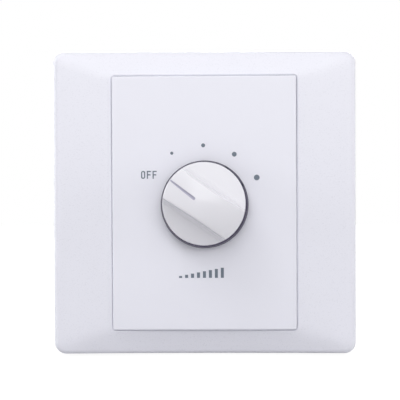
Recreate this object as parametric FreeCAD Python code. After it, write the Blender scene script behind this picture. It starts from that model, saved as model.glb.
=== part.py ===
import FreeCAD, Part
import math
import os

# Wall-mounted speaker volume control: a square wall plate with a turning knob in front,
# and behind it a five-step rotary switch, a circuit board, a tapped transformer and
# screw terminals.
#
# All sizes are in millimetres. +X is to the right and +Z is up as the control hangs on
# its wall. The wall is the plane Y = 0: the front faces -Y and the works reach to +Y.
# The shaft of the knob lies on the Y axis. Angles about that axis are measured on the
# front, from +X towards +Z.

Vector = FreeCAD.Vector
WALL = 0.0

# Outer frame, the square cover that is pushed on last
PLATE_SIZE = 86.0
PLATE_DEPTH = 9.0
PLATE_CORNER = 4.0
SIDE_BORDER = 17.25
END_BORDER = 7.55
FRAME_SHELL = 1.9
FRAME_DRAFT = 6.0
FRAME_EDGE_ROUND = 1.5
OPENING_CORNER = 0.9
OPENING_EDGE_ROUND = 0.45
OPENING_LIP_THICKNESS = 1.0
OPENING_LIP_GAP = 0.1
PEG_ROOT = 0.95

# The upper and lower borders slope away from arcs that run just inside the opening's corners
SLOPE_ARC_RADIUS = 110.0
SLOPE_ARC_INSET = 1.6
SLOPE_ANGLE = 17.0
SLOPE_BLEND_RADIUS = 12.4

# Centre panel, which stands a little proud of the frame
PANEL_GAP = 0.1
PANEL_PROUD = 0.6
PANEL_FACE_THICKNESS = 2.2
PANEL_SKIRT = 1.6
PANEL_CORNER = 0.6
PANEL_EDGE_ROUND = 0.4
PANEL_FLANGE = 1.0
PANEL_FLANGE_BACK = 3.2
PANEL_BOSS_RADIUS = 2.6
PANEL_BOSS_INSET = 6.2
PANEL_BOSS_X = 12.0
PANEL_BOSS_ROOT = 0.5
LOCATING_HOLE_FLOOR = 0.9

# Base frame, which is screwed to the wall box
BASE_THICKNESS = 2.4
BASE_GAP = 0.4
BASE_CORNER = 2.5
BASE_RIM = 1.4
BASE_RIM_HEIGHT = 1.6
BASE_LOCATING_RIB = 1.2
BASE_LOCATING_GAP = 0.15
PANEL_SCREW_SINK = 1.7
SCREW_SEAT_HEIGHT = 1.2
SCREW_SEAT_WALL = 1.05
WALL_SCREW_SPACING = 60.3
WALL_SLOT_WIDTH = 4.4
WALL_SLOT_LENGTH = 8.0
WINDOW_GAP = 2.0

# Push-fit pegs that hold the outer frame on the base
PEG_RADIUS = 1.5
PEG_GAP = 0.04
PEG_INSET = 8.0
PEG_SOCKET_WALL = 1.5
PEG_SOCKET_HEIGHT = 3.1
PEG_END_GAP = 0.6

# Knob: a domed cap with a grip ridge across it and a plated ring round its foot
KNOB_LIFT = 0.8
KNOB_HEIGHT = 13.0
CAP_RADIUS = 11.45
CAP_TAPER = 0.4
DOME_RADIUS = 25.0
RIDGE_TOP_WIDTH = 8.55
RIDGE_FOOT_WIDTH = 10.1
RIDGE_EDGE_ROUND = 0.5
SCOOP_HEIGHT = 8.3
SCOOP_RIM_HEIGHT = 5.2
SCOOP_ROUND = 1.0
CAP_RIM_ROUND = 0.45
CAP_WALL = 1.6
CAP_FLOOR = 1.0
RIDGE_WALL = 1.6
RING_PROUD = 0.62
RING_OFFSET = 0.28
RING_OFFSET_ANGLE = 306.0
RING_SEAT_WALL = 0.5
RING_HEIGHT = 3.7
RING_BEVEL_HEIGHT = 1.1
RING_BEVEL = 0.45
HUB_WALL = 1.8
HUB_LIFT = 4.1
CLIP_LEAF_WIDTH = 3.6
CLIP_LEAF_LIFT = 4.3
CLIP_LEAF_GAP = 0.05
POINTER_REST_ANGLE = 146.3
POINTER_LENGTH = 8.4
POINTER_WIDTH = 0.85
POINTER_RIM_WIDTH = 0.4
POINTER_DEPTH = 0.6
POINTER_PAINT = 0.12
POINTER_SIDE_OFFSET = 0.1
POINTER_SKEW = 4.0

# Printed scale, whose middle lies a little below and left of the shaft
INK_THICKNESS = 0.05
SCALE_MIDDLE_X = -0.6
SCALE_MIDDLE_Z = -1.25
DOT_CIRCLE_RADIUS = 17.35
FIRST_DOT_ANGLE = 118.8
DOT_DIAMETERS = (0.86, 1.1, 1.34, 1.58)
OFF_MARK_RADIUS = 17.4
OFF_MARK_ANGLE = 148.0
LETTER_HEIGHT = 2.2
LETTER_WIDTH = 1.15
LETTER_STROKE = 0.32
LETTER_SPACING = 1.6
LETTER_ROUNDNESS = 0.45
LETTER_MIDDLE_ARM = 0.9
LEVEL_MARK_X = -0.87
LEVEL_MARK_DROP = 19.36
LEVEL_BAR_COUNT = 8
LEVEL_BAR_WIDTH = 0.85
LEVEL_BAR_PITCH = 1.66
LEVEL_BAR_LOWEST = 0.55
LEVEL_BAR_HIGHEST = 2.8

# Rotary switch
STEP_ANGLE = 30.0
STEP_COUNT = 5
SHAFT_RADIUS = 3.0
SHAFT_FLAT = 1.5
SHAFT_FLAT_LENGTH = 6.4
SHAFT_GAP = 0.05
KNOB_END_WALL = 2.4
SHAFT_END_GAP = 0.4
SHAFT_TAIL = 0.8
SHAFT_CHAMFER = 0.4
DRIVE_FLAT = 2.4
DRIVE_GAP = 0.02
BUSHING_WALL = 1.5
BUSHING_HEIGHT = 3.0
SWITCH_PLATE_WIDTH = 35.0
SWITCH_PLATE_HEIGHT = 25.0
SWITCH_PLATE_THICKNESS = 1.5
SWITCH_PLATE_CORNER = 3.0
LOCATING_PIN_RADIUS = 1.0
LOCATING_PIN_PLACE = 8.6
LOCATING_PIN_END_GAP = 0.2
TIE_SCREW_X = 14.2
TIE_SCREW_RADIUS = 1.25
TIE_HEAD_RADIUS = 2.25
TIE_HEAD_HEIGHT = 1.5
TIE_SLOT_WIDTH = 0.6
TIE_SLOT_DEPTH = 0.6
TIE_SCREW_INSET = 0.2
NUT_ACROSS_FLATS = 12.0
NUT_THICKNESS = 2.0
NUT_CHAMFER = 0.5
NUT_THREAD_GAP = 0.02
WASHER_RADIUS = 7.0
WASHER_THICKNESS = 0.6
WASHER_GAP = 0.05
CLIP_THICKNESS = 0.5
CLIP_PROUD = 1.2
CLIP_GROOVE = 0.5
CLIP_MOUTH = 3.0
CLIP_LIFT = 0.1
DETENT_HOUSING_RADIUS = 11.0
DETENT_HOUSING_LENGTH = 5.6
DETENT_HOUSING_WALL = 2.4
DETENT_EAR_RADIUS = 2.6
DETENT_EAR_THICKNESS = 1.6
DETENT_WHEEL_RADIUS = 8.0
DETENT_WHEEL_THICKNESS = 2.2
DETENT_BALL_RADIUS = 1.5
DETENT_NOTCH_DEPTH = 0.45
DETENT_RUNNING_GAP = 0.1
DETENT_BALL_GAP = 0.05
DETENT_SPRING_THICKNESS = 0.4
DETENT_SPRING_WIDTH = 3.0
DETENT_SPRING_SWEEP = 110.0
DETENT_COLLAR = 1.5
STOP_LUG_ANGLE = 16.0
STOP_LUG_THICKNESS = 1.2
STOP_LUG_GAP = 0.3
STOP_MARGIN = 1.5
STOP_CLEARANCE = 1.1
ROTOR_OVERHANG = 1.5
ROTOR_THICKNESS = 1.8
ROTOR_HUB_WALL = 1.4
ROTOR_HUB_LENGTH = 2.0
WAFER_THICKNESS = 1.4
WAFER_HEIGHT = 22.0
WAFER_PLACE = 5.0
WAFER_CORNER = 4.0
CONTACT_RING_GAP = 0.25
CONTACT_HEAD_RADIUS = 1.05
CONTACT_THICKNESS = 0.4
CONTACT_PIN_RADIUS = 0.45
PIN_FIT = 0.02
COMMON_RING_CLEARANCE = 0.5
COMMON_RING_WIDTH = 1.1
COMMON_PIN_ANGLE = -90.0
WIPER_WIDTH = 2.4
WIPER_THICKNESS = 0.3
WIPER_GAP = 0.08

# Circuit board
BOARD_PLACE = 12.0
BOARD_THICKNESS = 1.6
BOARD_SIDE_MARGIN = 0.2
BOARD_PIN_MARGIN = 1.3
BOARD_FOOT_MARGIN = 2.0
BOARD_CORNER = 1.5
BOARD_SCREW_SIDE_INSET = 4.0
BOARD_SCREW_INSET = 3.5
PILLAR_RADIUS = 2.8
PIN_PROUD = 1.5
PIN_HOLE_GAP = 0.1
SOLDER_RADIUS = 1.1
SOLDER_HEIGHT = 0.9
SOLDER_SHOULDER_RADIUS = 0.88
SOLDER_SHOULDER_HEIGHT = 0.25
SOLDER_NECK = 0.15

# Small self-tapping screws
TAPPING_SCREW_RADIUS = 1.0
TAPPING_HEAD_RADIUS = 2.3
TAPPING_HEAD_HEIGHT = 1.6
TAPPING_SCREW_BITE = 3.8
TAPPING_CROWN_ROUND = 0.8
TAPPING_RECESS_DEPTH = 0.95
TAPPING_RECESS_LENGTH = 2.8
TAPPING_RECESS_WIDTH = 0.55
PILOT_EXTRA = 0.4
SCREW_THREAD_GAP = 0.03
SCREW_HOLE_GAP = 0.25

# Transformer on a stack of E and I laminations
TRANSFORMER_Z = 22.0
CORE_WIDTH = 35.0
CORE_STACK = 15.0
CORE_LEG = 4.9
CORE_CENTRE_LEG = 9.6
CORE_WINDOW_LENGTH = 19.6
BOBBIN_WALL = 0.8
BOBBIN_FLANGE = 1.0
BOBBIN_CORNER = 1.0
BOBBIN_GAP = 0.1
BOBBIN_OVERHANG = 5.9
BOBBIN_RAIL_WIDTH = 4.4
BOBBIN_RAIL_INSET = 1.0
BOBBIN_RAIL_GAP = 0.3
BOBBIN_PIN_PITCH = 7.6
BOBBIN_PIN_RADIUS = 0.4
BOBBIN_PIN_END_GAP = 0.6
WINDING_THICKNESS = 4.6
WINDING_ROUNDNESS = 0.6
TAPE_THICKNESS = 0.3
STRAP_THICKNESS = 0.8
STRAP_WIDTH = 12.0
STRAP_FOOT = 6.0
STRAP_SCREW_RADIUS = 1.5
STRAP_HEAD_RADIUS = 2.75
STRAP_HEAD_HEIGHT = 2.0
STRAP_CROWN_ROUND = 0.9
STRAP_RECESS_DEPTH = 1.2
STRAP_RECESS_LENGTH = 3.2
STRAP_RECESS_WIDTH = 0.7
STRAP_SCREW_PROUD = 1.0
STRAP_NUT_FLATS = 5.5
STRAP_NUT_THICKNESS = 2.4

# Screw terminals with rising clamps
TERMINAL_COUNT = 4
TERMINAL_PITCH = 7.62
TERMINAL_END_WALL = 0.6
TERMINAL_BOTTOM_Z = -30.0
TERMINAL_DEPTH = 12.5
TERMINAL_HEIGHT = 14.0
TERMINAL_STEP_DEPTH = 2.6
TERMINAL_STEP_HEIGHT = 3.5
TERMINAL_WALL = 1.0
TERMINAL_SCREW_RADIUS = 1.5
TERMINAL_HEAD_RADIUS = 2.2
TERMINAL_HEAD_HEIGHT = 1.8
TERMINAL_SLOT_WIDTH = 0.6
TERMINAL_SLOT_DEPTH = 0.9
TERMINAL_BAR_THICKNESS = 0.8
TERMINAL_BAR_WIDTH = 3.6
TERMINAL_BAR_LIFT = 0.2
TERMINAL_BAR_END = 0.48
TERMINAL_BAR_GAP = 0.02
TERMINAL_PIN_INSET = 1.6
CLAMP_WIDTH = 5.2
CLAMP_LENGTH = 5.4
CLAMP_INSET = 2.2
CLAMP_WALL = 0.9
CLAMP_TOP_WALL = 1.5
CLAMP_OPENING = 4.9
CLAMP_TRAVEL = 2.6
CLAMP_GAP = 0.25
CLAMP_SCREW_GAP = 0.05
WIRE_ENTRY_WIDTH = 4.4
WIRE_ENTRY_HEIGHT = 2.8

# Cutters reach this far past the faces they cut, and places this near count as touching
PAST = 1.0
TOUCHING = 0.01

# Places that follow from the sizes above
FRAME_FACE = WALL - PLATE_DEPTH
PANEL_FACE = FRAME_FACE - PANEL_PROUD
PANEL_BACK = PANEL_FACE + PANEL_FACE_THICKNESS
BASE_FRONT = WALL - BASE_THICKNESS
SCREW_SEAT_FRONT = BASE_FRONT - SCREW_SEAT_HEIGHT
OPENING_WIDTH = PLATE_SIZE - 2 * SIDE_BORDER
OPENING_HEIGHT = PLATE_SIZE - 2 * END_BORDER
PANEL_WIDTH = OPENING_WIDTH - 2 * PANEL_GAP
PANEL_HEIGHT = OPENING_HEIGHT - 2 * PANEL_GAP
DRAFT = math.tan(math.radians(FRAME_DRAFT))
CAVITY_SIZE = PLATE_SIZE - 2 * FRAME_SHELL
BASE_SIZE = CAVITY_SIZE - 2 * (BASE_GAP + DRAFT * (BASE_THICKNESS + BASE_RIM_HEIGHT))
PEG_PLACE = PLATE_SIZE / 2 - PEG_INSET
CAP_TOP_RADIUS = CAP_RADIUS - CAP_TAPER
RING_RADIUS = CAP_RADIUS + RING_PROUD
HUB_RADIUS = SHAFT_RADIUS + HUB_WALL
SHAFT_REACH = KNOB_HEIGHT - KNOB_END_WALL - SHAFT_END_GAP
BUSHING_RADIUS = SHAFT_RADIUS + BUSHING_WALL
CLIP_RADIUS = SHAFT_RADIUS + CLIP_PROUD
STOP_INNER_RADIUS = SHAFT_RADIUS + DETENT_COLLAR + STOP_CLEARANCE
COMMON_RING_INNER = SHAFT_RADIUS + COMMON_RING_CLEARANCE
COMMON_RING_OUTER = COMMON_RING_INNER + COMMON_RING_WIDTH
CONTACT_CIRCLE_RADIUS = COMMON_RING_OUTER + CONTACT_RING_GAP + CONTACT_HEAD_RADIUS
ROTOR_RADIUS = CONTACT_CIRCLE_RADIUS + ROTOR_OVERHANG
ROTOR_HUB_RADIUS = SHAFT_RADIUS + ROTOR_HUB_WALL
SWITCH_PLATE_BACK = PANEL_BACK + SWITCH_PLATE_THICKNESS
DETENT_HOUSING_BACK = SWITCH_PLATE_BACK + DETENT_HOUSING_LENGTH
BOARD_BACK = BOARD_PLACE + BOARD_THICKNESS
BOARD_WIDTH = CORE_WIDTH + 2 * (STRAP_THICKNESS + STRAP_FOOT + BOARD_SIDE_MARGIN)
BOBBIN_PIN_REACH = CORE_STACK / 2 + BOBBIN_OVERHANG - BOBBIN_RAIL_WIDTH / 2
BOARD_TOP = TRANSFORMER_Z + BOBBIN_PIN_REACH + BOARD_PIN_MARGIN
BOARD_BOTTOM = TERMINAL_BOTTOM_Z - BOARD_FOOT_MARGIN
BOARD_SCREW_X = BOARD_WIDTH / 2 - BOARD_SCREW_SIDE_INSET
CORE_HEIGHT = 2 * CORE_LEG + CORE_WINDOW_LENGTH
WINDOW_WIDTH = SWITCH_PLATE_WIDTH + 2 * WINDOW_GAP
WINDOW_HEIGHT = SWITCH_PLATE_HEIGHT + 2 * WINDOW_GAP


# Building helpers

def box(x, y, z):
    """A box between two values along each axis."""
    corner = Vector(x[0], y[0], z[0])
    return Part.makeBox(x[1] - x[0], y[1] - y[0], z[1] - z[0], corner)


def centred(size, middle=0.0):
    """The two values that lie half a size each side of a middle."""
    return (middle - size / 2, middle + size / 2)


def rod(radius, y, x=0.0, z=0.0):
    """A round bar along Y."""
    return Part.makeCylinder(radius, y[1] - y[0], Vector(x, y[0], z), Vector(0, 1, 0))


def tube(outer, inner, y, x=0.0, z=0.0):
    """A round bar along Y with a bore."""
    return rod(outer, y, x, z).cut(rod(inner, y, x, z))


def rounded_block(width, height, radius, y, x=0.0, z=0.0):
    """A block along Y whose four long edges are rounded."""
    block = box(centred(width, x), y, centred(height, z))
    long_edges = [edge for edge in block.Edges if abs(edge.tangentAt(edge.FirstParameter).y) > 0.9]
    return block.makeFillet(radius, long_edges)


def tapered_block(size, radius, y_back, y_front):
    """A square block that narrows towards the front by the frame's draft."""
    rings = []
    for y in (y_back, y_front):
        inset = DRAFT * (y_back - y)
        slab = rounded_block(size - 2 * inset, size - 2 * inset, radius - inset, (y, y + PAST))
        faces = [face for face in slab.Faces if face.BoundBox.YMax < y + TOUCHING]
        rings.append(faces[0].OuterWire)
    return Part.makeLoft(rings, True, True)


def hexagon(across_flats, y, x=0.0, z=0.0):
    """A hexagonal bar along Y."""
    corner_radius = across_flats / math.sqrt(3)
    corners = []
    for index in range(7):
        angle = math.radians(60 * index)
        corners.append(Vector(x + corner_radius * math.cos(angle), y[0], z + corner_radius * math.sin(angle)))
    return Part.Face(Part.makePolygon(corners)).extrude(Vector(0, y[1] - y[0], 0))


def turned(points, x=0.0, z=0.0):
    """A solid turned about an axis along Y from (radius, y) points in order."""
    corners = [Vector(x + radius, y, z) for radius, y in points]
    outline = Part.makePolygon(corners + corners[:1])
    return Part.Face(outline).revolve(Vector(x, 0, z), Vector(0, 1, 0), 360)


def polar(radius, angle):
    """X and Z of a point at a radius and an angle on the front."""
    return radius * math.cos(math.radians(angle)), radius * math.sin(math.radians(angle))


def spun(shape, angle):
    """A shape turned about the shaft by an angle on the front."""
    copy = shape.copy()
    copy.rotate(Vector(0, 0, 0), Vector(0, -1, 0), angle)
    return copy


def sector(inner, outer, y, start, sweep):
    """A piece of a ring about the shaft, from a start angle over a sweep."""
    low_x, low_z = polar(inner, start)
    high_x, high_z = polar(outer, start)
    corners = [Vector(low_x, y[0], low_z), Vector(high_x, y[0], high_z),
               Vector(high_x, y[1], high_z), Vector(low_x, y[1], low_z)]
    face = Part.Face(Part.makePolygon(corners + corners[:1]))
    return face.revolve(Vector(0, 0, 0), Vector(0, -1, 0), sweep)


def joined(shapes):
    """Shapes fused to one, with leftover seams removed."""
    result = shapes[0]
    for shape in shapes[1:]:
        result = result.fuse(shape)
    return result.removeSplitter()


def without(shape, tools):
    """A shape with each tool cut away."""
    for tool in tools:
        shape = shape.cut(tool)
    return shape


def mirrored_corners(x, z):
    """The four points at plus and minus x and z."""
    return [(-x, -z), (x, -z), (x, z), (-x, z)]


def front_of_panel(height):
    """Y of a point at a height in front of the panel's face."""
    return PANEL_FACE - height


# Outer frame

def slope_cutters(shift):
    """The material in front of the upper and lower slopes, moved back by a shift."""
    half_width = OPENING_WIDTH / 2
    half_height = OPENING_HEIGHT / 2
    centre_z = half_height - SLOPE_ARC_INSET + math.sqrt(SLOPE_ARC_RADIUS ** 2 - half_width ** 2)
    slope = math.radians(SLOPE_ANGLE)
    face = FRAME_FACE + shift
    inner_radius = centre_z - PLATE_SIZE
    blend_width = SLOPE_BLEND_RADIUS * math.sin(slope)
    blend_drop = SLOPE_BLEND_RADIUS * (1 - math.cos(slope))
    half_drop = SLOPE_BLEND_RADIUS * (1 - math.cos(slope / 2))
    half_width_of_blend = SLOPE_BLEND_RADIUS * math.sin(slope / 2)
    blend_end = SLOPE_ARC_RADIUS - blend_width
    inner_drop = blend_drop + (blend_end - inner_radius) * math.tan(slope)
    clear = face - PLATE_DEPTH
    start = Vector(SLOPE_ARC_RADIUS, face, 0)
    middle = Vector(SLOPE_ARC_RADIUS - half_width_of_blend, face + half_drop, 0)
    end = Vector(blend_end, face + blend_drop, 0)
    far = Vector(inner_radius, face + inner_drop, 0)
    far_clear = Vector(inner_radius, clear, 0)
    start_clear = Vector(SLOPE_ARC_RADIUS, clear, 0)
    outline = Part.Wire([Part.Arc(start, middle, end).toShape(),
                         Part.makeLine(end, far),
                         Part.makeLine(far, far_clear),
                         Part.makeLine(far_clear, start_clear),
                         Part.makeLine(start_clear, start)])
    ring = Part.Face(outline).revolve(Vector(0, 0, 0), Vector(0, 1, 0), 360)
    cutters = []
    for side in (1, -1):
        cutter = ring.copy()
        cutter.translate(Vector(0, 0, side * centre_z))
        cutters.append(cutter)
    return cutters


def front_rim(shape, deepest):
    """The front edges of a shape that lie on its outside."""
    found = []
    for edge in shape.Edges:
        middle = edge.valueAt((edge.FirstParameter + edge.LastParameter) / 2)
        inset = DRAFT * (WALL - middle.y)
        reach = PLATE_SIZE / 2 - inset
        along_front = abs(edge.tangentAt((edge.FirstParameter + edge.LastParameter) / 2).y) < 0.5
        on_side = max(abs(middle.x), abs(middle.z)) > reach - TOUCHING
        at_corner = min(abs(middle.x), abs(middle.z)) > reach - PLATE_CORNER
        if middle.y < deepest and along_front and (on_side or at_corner):
            found.append(edge)
    return found


def mouth_rim(shape, deepest):
    """The front edges of a shape that lie on the frame's opening."""
    found = []
    for edge in shape.Edges:
        middle = edge.valueAt((edge.FirstParameter + edge.LastParameter) / 2)
        along_front = abs(edge.tangentAt((edge.FirstParameter + edge.LastParameter) / 2).y) < 0.5
        in_width = abs(middle.x) < OPENING_WIDTH / 2 + TOUCHING
        in_height = abs(middle.z) < OPENING_HEIGHT / 2 + TOUCHING
        if middle.y < deepest and along_front and in_width and in_height:
            found.append(edge)
    return found


def outer_frame():
    half_depth = WALL - PLATE_DEPTH / 2
    body = tapered_block(PLATE_SIZE, PLATE_CORNER, WALL, FRAME_FACE)
    body = without(body, slope_cutters(0.0))
    body = body.makeFillet(FRAME_EDGE_ROUND, front_rim(body, half_depth + PAST))
    body = body.cut(rounded_block(OPENING_WIDTH, OPENING_HEIGHT, OPENING_CORNER,
                                  (FRAME_FACE - PAST, WALL + PAST)))
    body = body.makeFillet(OPENING_EDGE_ROUND, mouth_rim(body, half_depth))
    inside = tapered_block(CAVITY_SIZE, PLATE_CORNER - FRAME_SHELL, WALL, FRAME_FACE + FRAME_SHELL)
    inside = without(inside, slope_cutters(FRAME_SHELL))
    reach = PANEL_FLANGE + OPENING_LIP_GAP
    rebate = rounded_block(OPENING_WIDTH + 2 * reach, OPENING_HEIGHT + 2 * reach, OPENING_CORNER,
                           (FRAME_FACE + OPENING_LIP_THICKNESS, WALL))
    rebate = without(rebate, slope_cutters(OPENING_LIP_THICKNESS))
    body = without(body, [inside, rebate])
    roof = without(box(centred(PLATE_SIZE), (FRAME_FACE, WALL), centred(PLATE_SIZE)),
                   slope_cutters(PEG_ROOT))
    pegs = []
    for x, z in mirrored_corners(PEG_PLACE, PEG_PLACE):
        peg = rod(PEG_RADIUS, (FRAME_FACE + PEG_ROOT, WALL - PEG_END_GAP), x, z)
        pegs.append(peg.common(roof))
    return joined([body] + pegs)


# Base frame and centre panel

def panel_boss_places():
    return mirrored_corners(PANEL_BOSS_X, PANEL_HEIGHT / 2 - PANEL_BOSS_INSET)


def board_screw_places():
    top = BOARD_TOP - BOARD_SCREW_INSET
    bottom = BOARD_BOTTOM + BOARD_SCREW_INSET
    return [(-BOARD_SCREW_X, top), (BOARD_SCREW_X, top),
            (-BOARD_SCREW_X, bottom), (BOARD_SCREW_X, bottom)]


def wall_slot(x):
    """One of the two slots for the screws into the wall box."""
    through = (BASE_FRONT - PAST, WALL + PAST)
    half_run = (WALL_SLOT_LENGTH - WALL_SLOT_WIDTH) / 2
    middle = box(centred(2 * half_run, x), through, centred(WALL_SLOT_WIDTH))
    ends = [rod(WALL_SLOT_WIDTH / 2, through, x + half_run * side) for side in (-1, 1)]
    return joined([middle] + ends)


def base_frame():
    plate = rounded_block(BASE_SIZE, BASE_SIZE, BASE_CORNER, (BASE_FRONT, WALL))
    rim_depth = (BASE_FRONT - BASE_RIM_HEIGHT, BASE_FRONT)
    rim = rounded_block(BASE_SIZE, BASE_SIZE, BASE_CORNER, rim_depth)
    rim = rim.cut(rounded_block(BASE_SIZE - 2 * BASE_RIM, BASE_SIZE - 2 * BASE_RIM,
                                BASE_CORNER - BASE_RIM, rim_depth))
    inner_width = PANEL_WIDTH - 2 * PANEL_SKIRT - 2 * BASE_LOCATING_GAP
    inner_height = PANEL_HEIGHT - 2 * PANEL_SKIRT - 2 * BASE_LOCATING_GAP
    rib = box(centred(inner_width), rim_depth, centred(inner_height))
    rib = rib.cut(box(centred(inner_width - 2 * BASE_LOCATING_RIB), rim_depth,
                      centred(inner_height - 2 * BASE_LOCATING_RIB)))
    parts = [plate, rim, rib]
    for x, z in mirrored_corners(PEG_PLACE, PEG_PLACE):
        socket_depth = (BASE_FRONT - PEG_SOCKET_HEIGHT, WALL)
        parts.append(rod(PEG_RADIUS + PEG_GAP + PEG_SOCKET_WALL, socket_depth, x, z))
    for x, z in board_screw_places():
        parts.append(rod(PILLAR_RADIUS, (WALL - BASE_THICKNESS / 2, BOARD_PLACE), x, z))
    head_hole_radius = TAPPING_HEAD_RADIUS + SCREW_HOLE_GAP
    for x, z in panel_boss_places():
        parts.append(rod(head_hole_radius + SCREW_SEAT_WALL, (SCREW_SEAT_FRONT, WALL), x, z))
    body = joined(parts)
    through = (BASE_FRONT - PLATE_DEPTH, WALL + PAST)
    holes = [box(centred(WINDOW_WIDTH), through, centred(WINDOW_HEIGHT))]
    for side in (-1, 1):
        holes.append(wall_slot(side * WALL_SCREW_SPACING / 2))
    for x, z in mirrored_corners(PEG_PLACE, PEG_PLACE):
        holes.append(rod(PEG_RADIUS + PEG_GAP, through, x, z))
    for x, z in panel_boss_places():
        holes.append(rod(TAPPING_SCREW_RADIUS + SCREW_HOLE_GAP, through, x, z))
        holes.append(rod(head_hole_radius, (WALL - PANEL_SCREW_SINK, WALL + PAST), x, z))
    pilot_depth = (BOARD_PLACE - TAPPING_SCREW_BITE - PILOT_EXTRA, BOARD_PLACE + PAST)
    for x, z in board_screw_places():
        holes.append(rod(TAPPING_SCREW_RADIUS + SCREW_THREAD_GAP, pilot_depth, x, z))
    return without(body, holes)


def centre_panel():
    """The raised panel, with a flange behind the frame's opening and a skirt to the base."""
    body = rounded_block(PANEL_WIDTH, PANEL_HEIGHT, PANEL_CORNER, (PANEL_FACE, BASE_FRONT))
    front_edges = [edge for edge in body.Edges if edge.BoundBox.YMax < PANEL_FACE + TOUCHING]
    body = body.makeFillet(PANEL_EDGE_ROUND, front_edges)
    lip_back = OPENING_LIP_THICKNESS + OPENING_LIP_GAP
    flange = rounded_block(PANEL_WIDTH + 2 * PANEL_FLANGE, PANEL_HEIGHT + 2 * PANEL_FLANGE,
                           PANEL_CORNER, (FRAME_FACE + lip_back, FRAME_FACE + PANEL_FLANGE_BACK))
    flange = without(flange, slope_cutters(lip_back))
    inside = box(centred(PANEL_WIDTH - 2 * PANEL_SKIRT), (PANEL_BACK, BASE_FRONT + PAST),
                 centred(PANEL_HEIGHT - 2 * PANEL_SKIRT))
    bosses = []
    holes = []
    for x, z in panel_boss_places():
        bosses.append(rod(PANEL_BOSS_RADIUS, (PANEL_BACK - PANEL_BOSS_ROOT, SCREW_SEAT_FRONT), x, z))
        pilot = (SCREW_SEAT_FRONT - TAPPING_SCREW_BITE - PILOT_EXTRA, SCREW_SEAT_FRONT + PAST)
        holes.append(rod(TAPPING_SCREW_RADIUS + SCREW_THREAD_GAP, pilot, x, z))
    holes.append(rod(BUSHING_RADIUS + PIN_HOLE_GAP, (PANEL_FACE - PAST, PANEL_BACK + PAST)))
    pin_hole_depth = (PANEL_FACE + LOCATING_HOLE_FLOOR, PANEL_BACK + PAST)
    holes.append(rod(LOCATING_PIN_RADIUS + PIN_HOLE_GAP, pin_hole_depth, 0, -LOCATING_PIN_PLACE))
    return without(joined([body.fuse(flange).cut(inside)] + bosses), holes)


def tapping_screw(seat, direction, x, z, grip):
    """A pan-head screw whose head sits on a face and whose shank goes through and bites."""
    shank_end = seat + direction * (grip + TAPPING_SCREW_BITE)
    head_end = seat - direction * TAPPING_HEAD_HEIGHT
    shank = rod(TAPPING_SCREW_RADIUS, tuple(sorted((seat, shank_end))), x, z)
    head = rod(TAPPING_HEAD_RADIUS, tuple(sorted((seat, head_end))), x, z)
    crown = [edge for edge in head.Edges if abs(edge.BoundBox.YMax - head_end) < TOUCHING
             and abs(edge.BoundBox.YMin - head_end) < TOUCHING]
    head = head.makeFillet(TAPPING_CROWN_ROUND, crown)
    recess = tuple(sorted((head_end, head_end + direction * TAPPING_RECESS_DEPTH)))
    slots = [box(centred(TAPPING_RECESS_LENGTH, x), recess, centred(TAPPING_RECESS_WIDTH, z)),
             box(centred(TAPPING_RECESS_WIDTH, x), recess, centred(TAPPING_RECESS_LENGTH, z))]
    return without(joined([shank, head]), slots)


def panel_screws():
    """The screws from the base into the panel, with their heads below the wall's face."""
    seat = WALL - PANEL_SCREW_SINK
    return [tapping_screw(seat, -1, x, z, seat - SCREW_SEAT_FRONT) for x, z in panel_boss_places()]


# Printed scale

def ink_layer():
    return (PANEL_FACE - INK_THICKNESS, PANEL_FACE)


def scale_place(radius, angle):
    """X and Z of a point at a radius and an angle about the middle of the scale."""
    x, z = polar(radius, angle)
    return SCALE_MIDDLE_X + x, SCALE_MIDDLE_Z + z


def printed_dots():
    dots = []
    for index, diameter in enumerate(DOT_DIAMETERS):
        x, z = scale_place(DOT_CIRCLE_RADIUS, FIRST_DOT_ANGLE - index * STEP_ANGLE)
        dots.append(rod(diameter / 2, ink_layer(), x, z))
    return dots


def letter_o(x, z):
    """A narrow letter O as a rounded ring, centred on a point."""
    outer = rounded_block(LETTER_WIDTH, LETTER_HEIGHT, LETTER_WIDTH * LETTER_ROUNDNESS, ink_layer(), x, z)
    inner_width = LETTER_WIDTH - 2 * LETTER_STROKE
    inner_height = LETTER_HEIGHT - 2 * LETTER_STROKE
    inner = rounded_block(inner_width, inner_height, inner_width * LETTER_ROUNDNESS, ink_layer(), x, z)
    return outer.cut(inner)


def letter_f(x, z):
    """A letter F as a stem and two arms, centred on a point."""
    left = x - LETTER_WIDTH / 2
    bottom = z - LETTER_HEIGHT / 2
    top = z + LETTER_HEIGHT / 2
    stem = box((left, left + LETTER_STROKE), ink_layer(), (bottom, top))
    top_arm = box((left, left + LETTER_WIDTH), ink_layer(), (top - LETTER_STROKE, top))
    middle_arm = box((left, left + LETTER_WIDTH * LETTER_MIDDLE_ARM), ink_layer(), centred(LETTER_STROKE, z))
    return joined([stem, top_arm, middle_arm])


def printed_off_mark():
    x, z = scale_place(OFF_MARK_RADIUS, OFF_MARK_ANGLE)
    return [letter_o(x - LETTER_SPACING, z), letter_f(x, z), letter_f(x + LETTER_SPACING, z)]


def printed_level_mark():
    """A row of bars that grow to the right, the sign for loudness."""
    bars = []
    row_width = (LEVEL_BAR_COUNT - 1) * LEVEL_BAR_PITCH
    foot = -LEVEL_MARK_DROP - LEVEL_BAR_HIGHEST / 2
    for index in range(LEVEL_BAR_COUNT):
        share = index / (LEVEL_BAR_COUNT - 1)
        height = LEVEL_BAR_LOWEST + share * (LEVEL_BAR_HIGHEST - LEVEL_BAR_LOWEST)
        x = LEVEL_MARK_X + index * LEVEL_BAR_PITCH - row_width / 2
        bars.append(box(centred(LEVEL_BAR_WIDTH, x), ink_layer(), (foot, foot + height)))
    return bars


# Knob, built with its pointer along +X and then turned to rest

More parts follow.
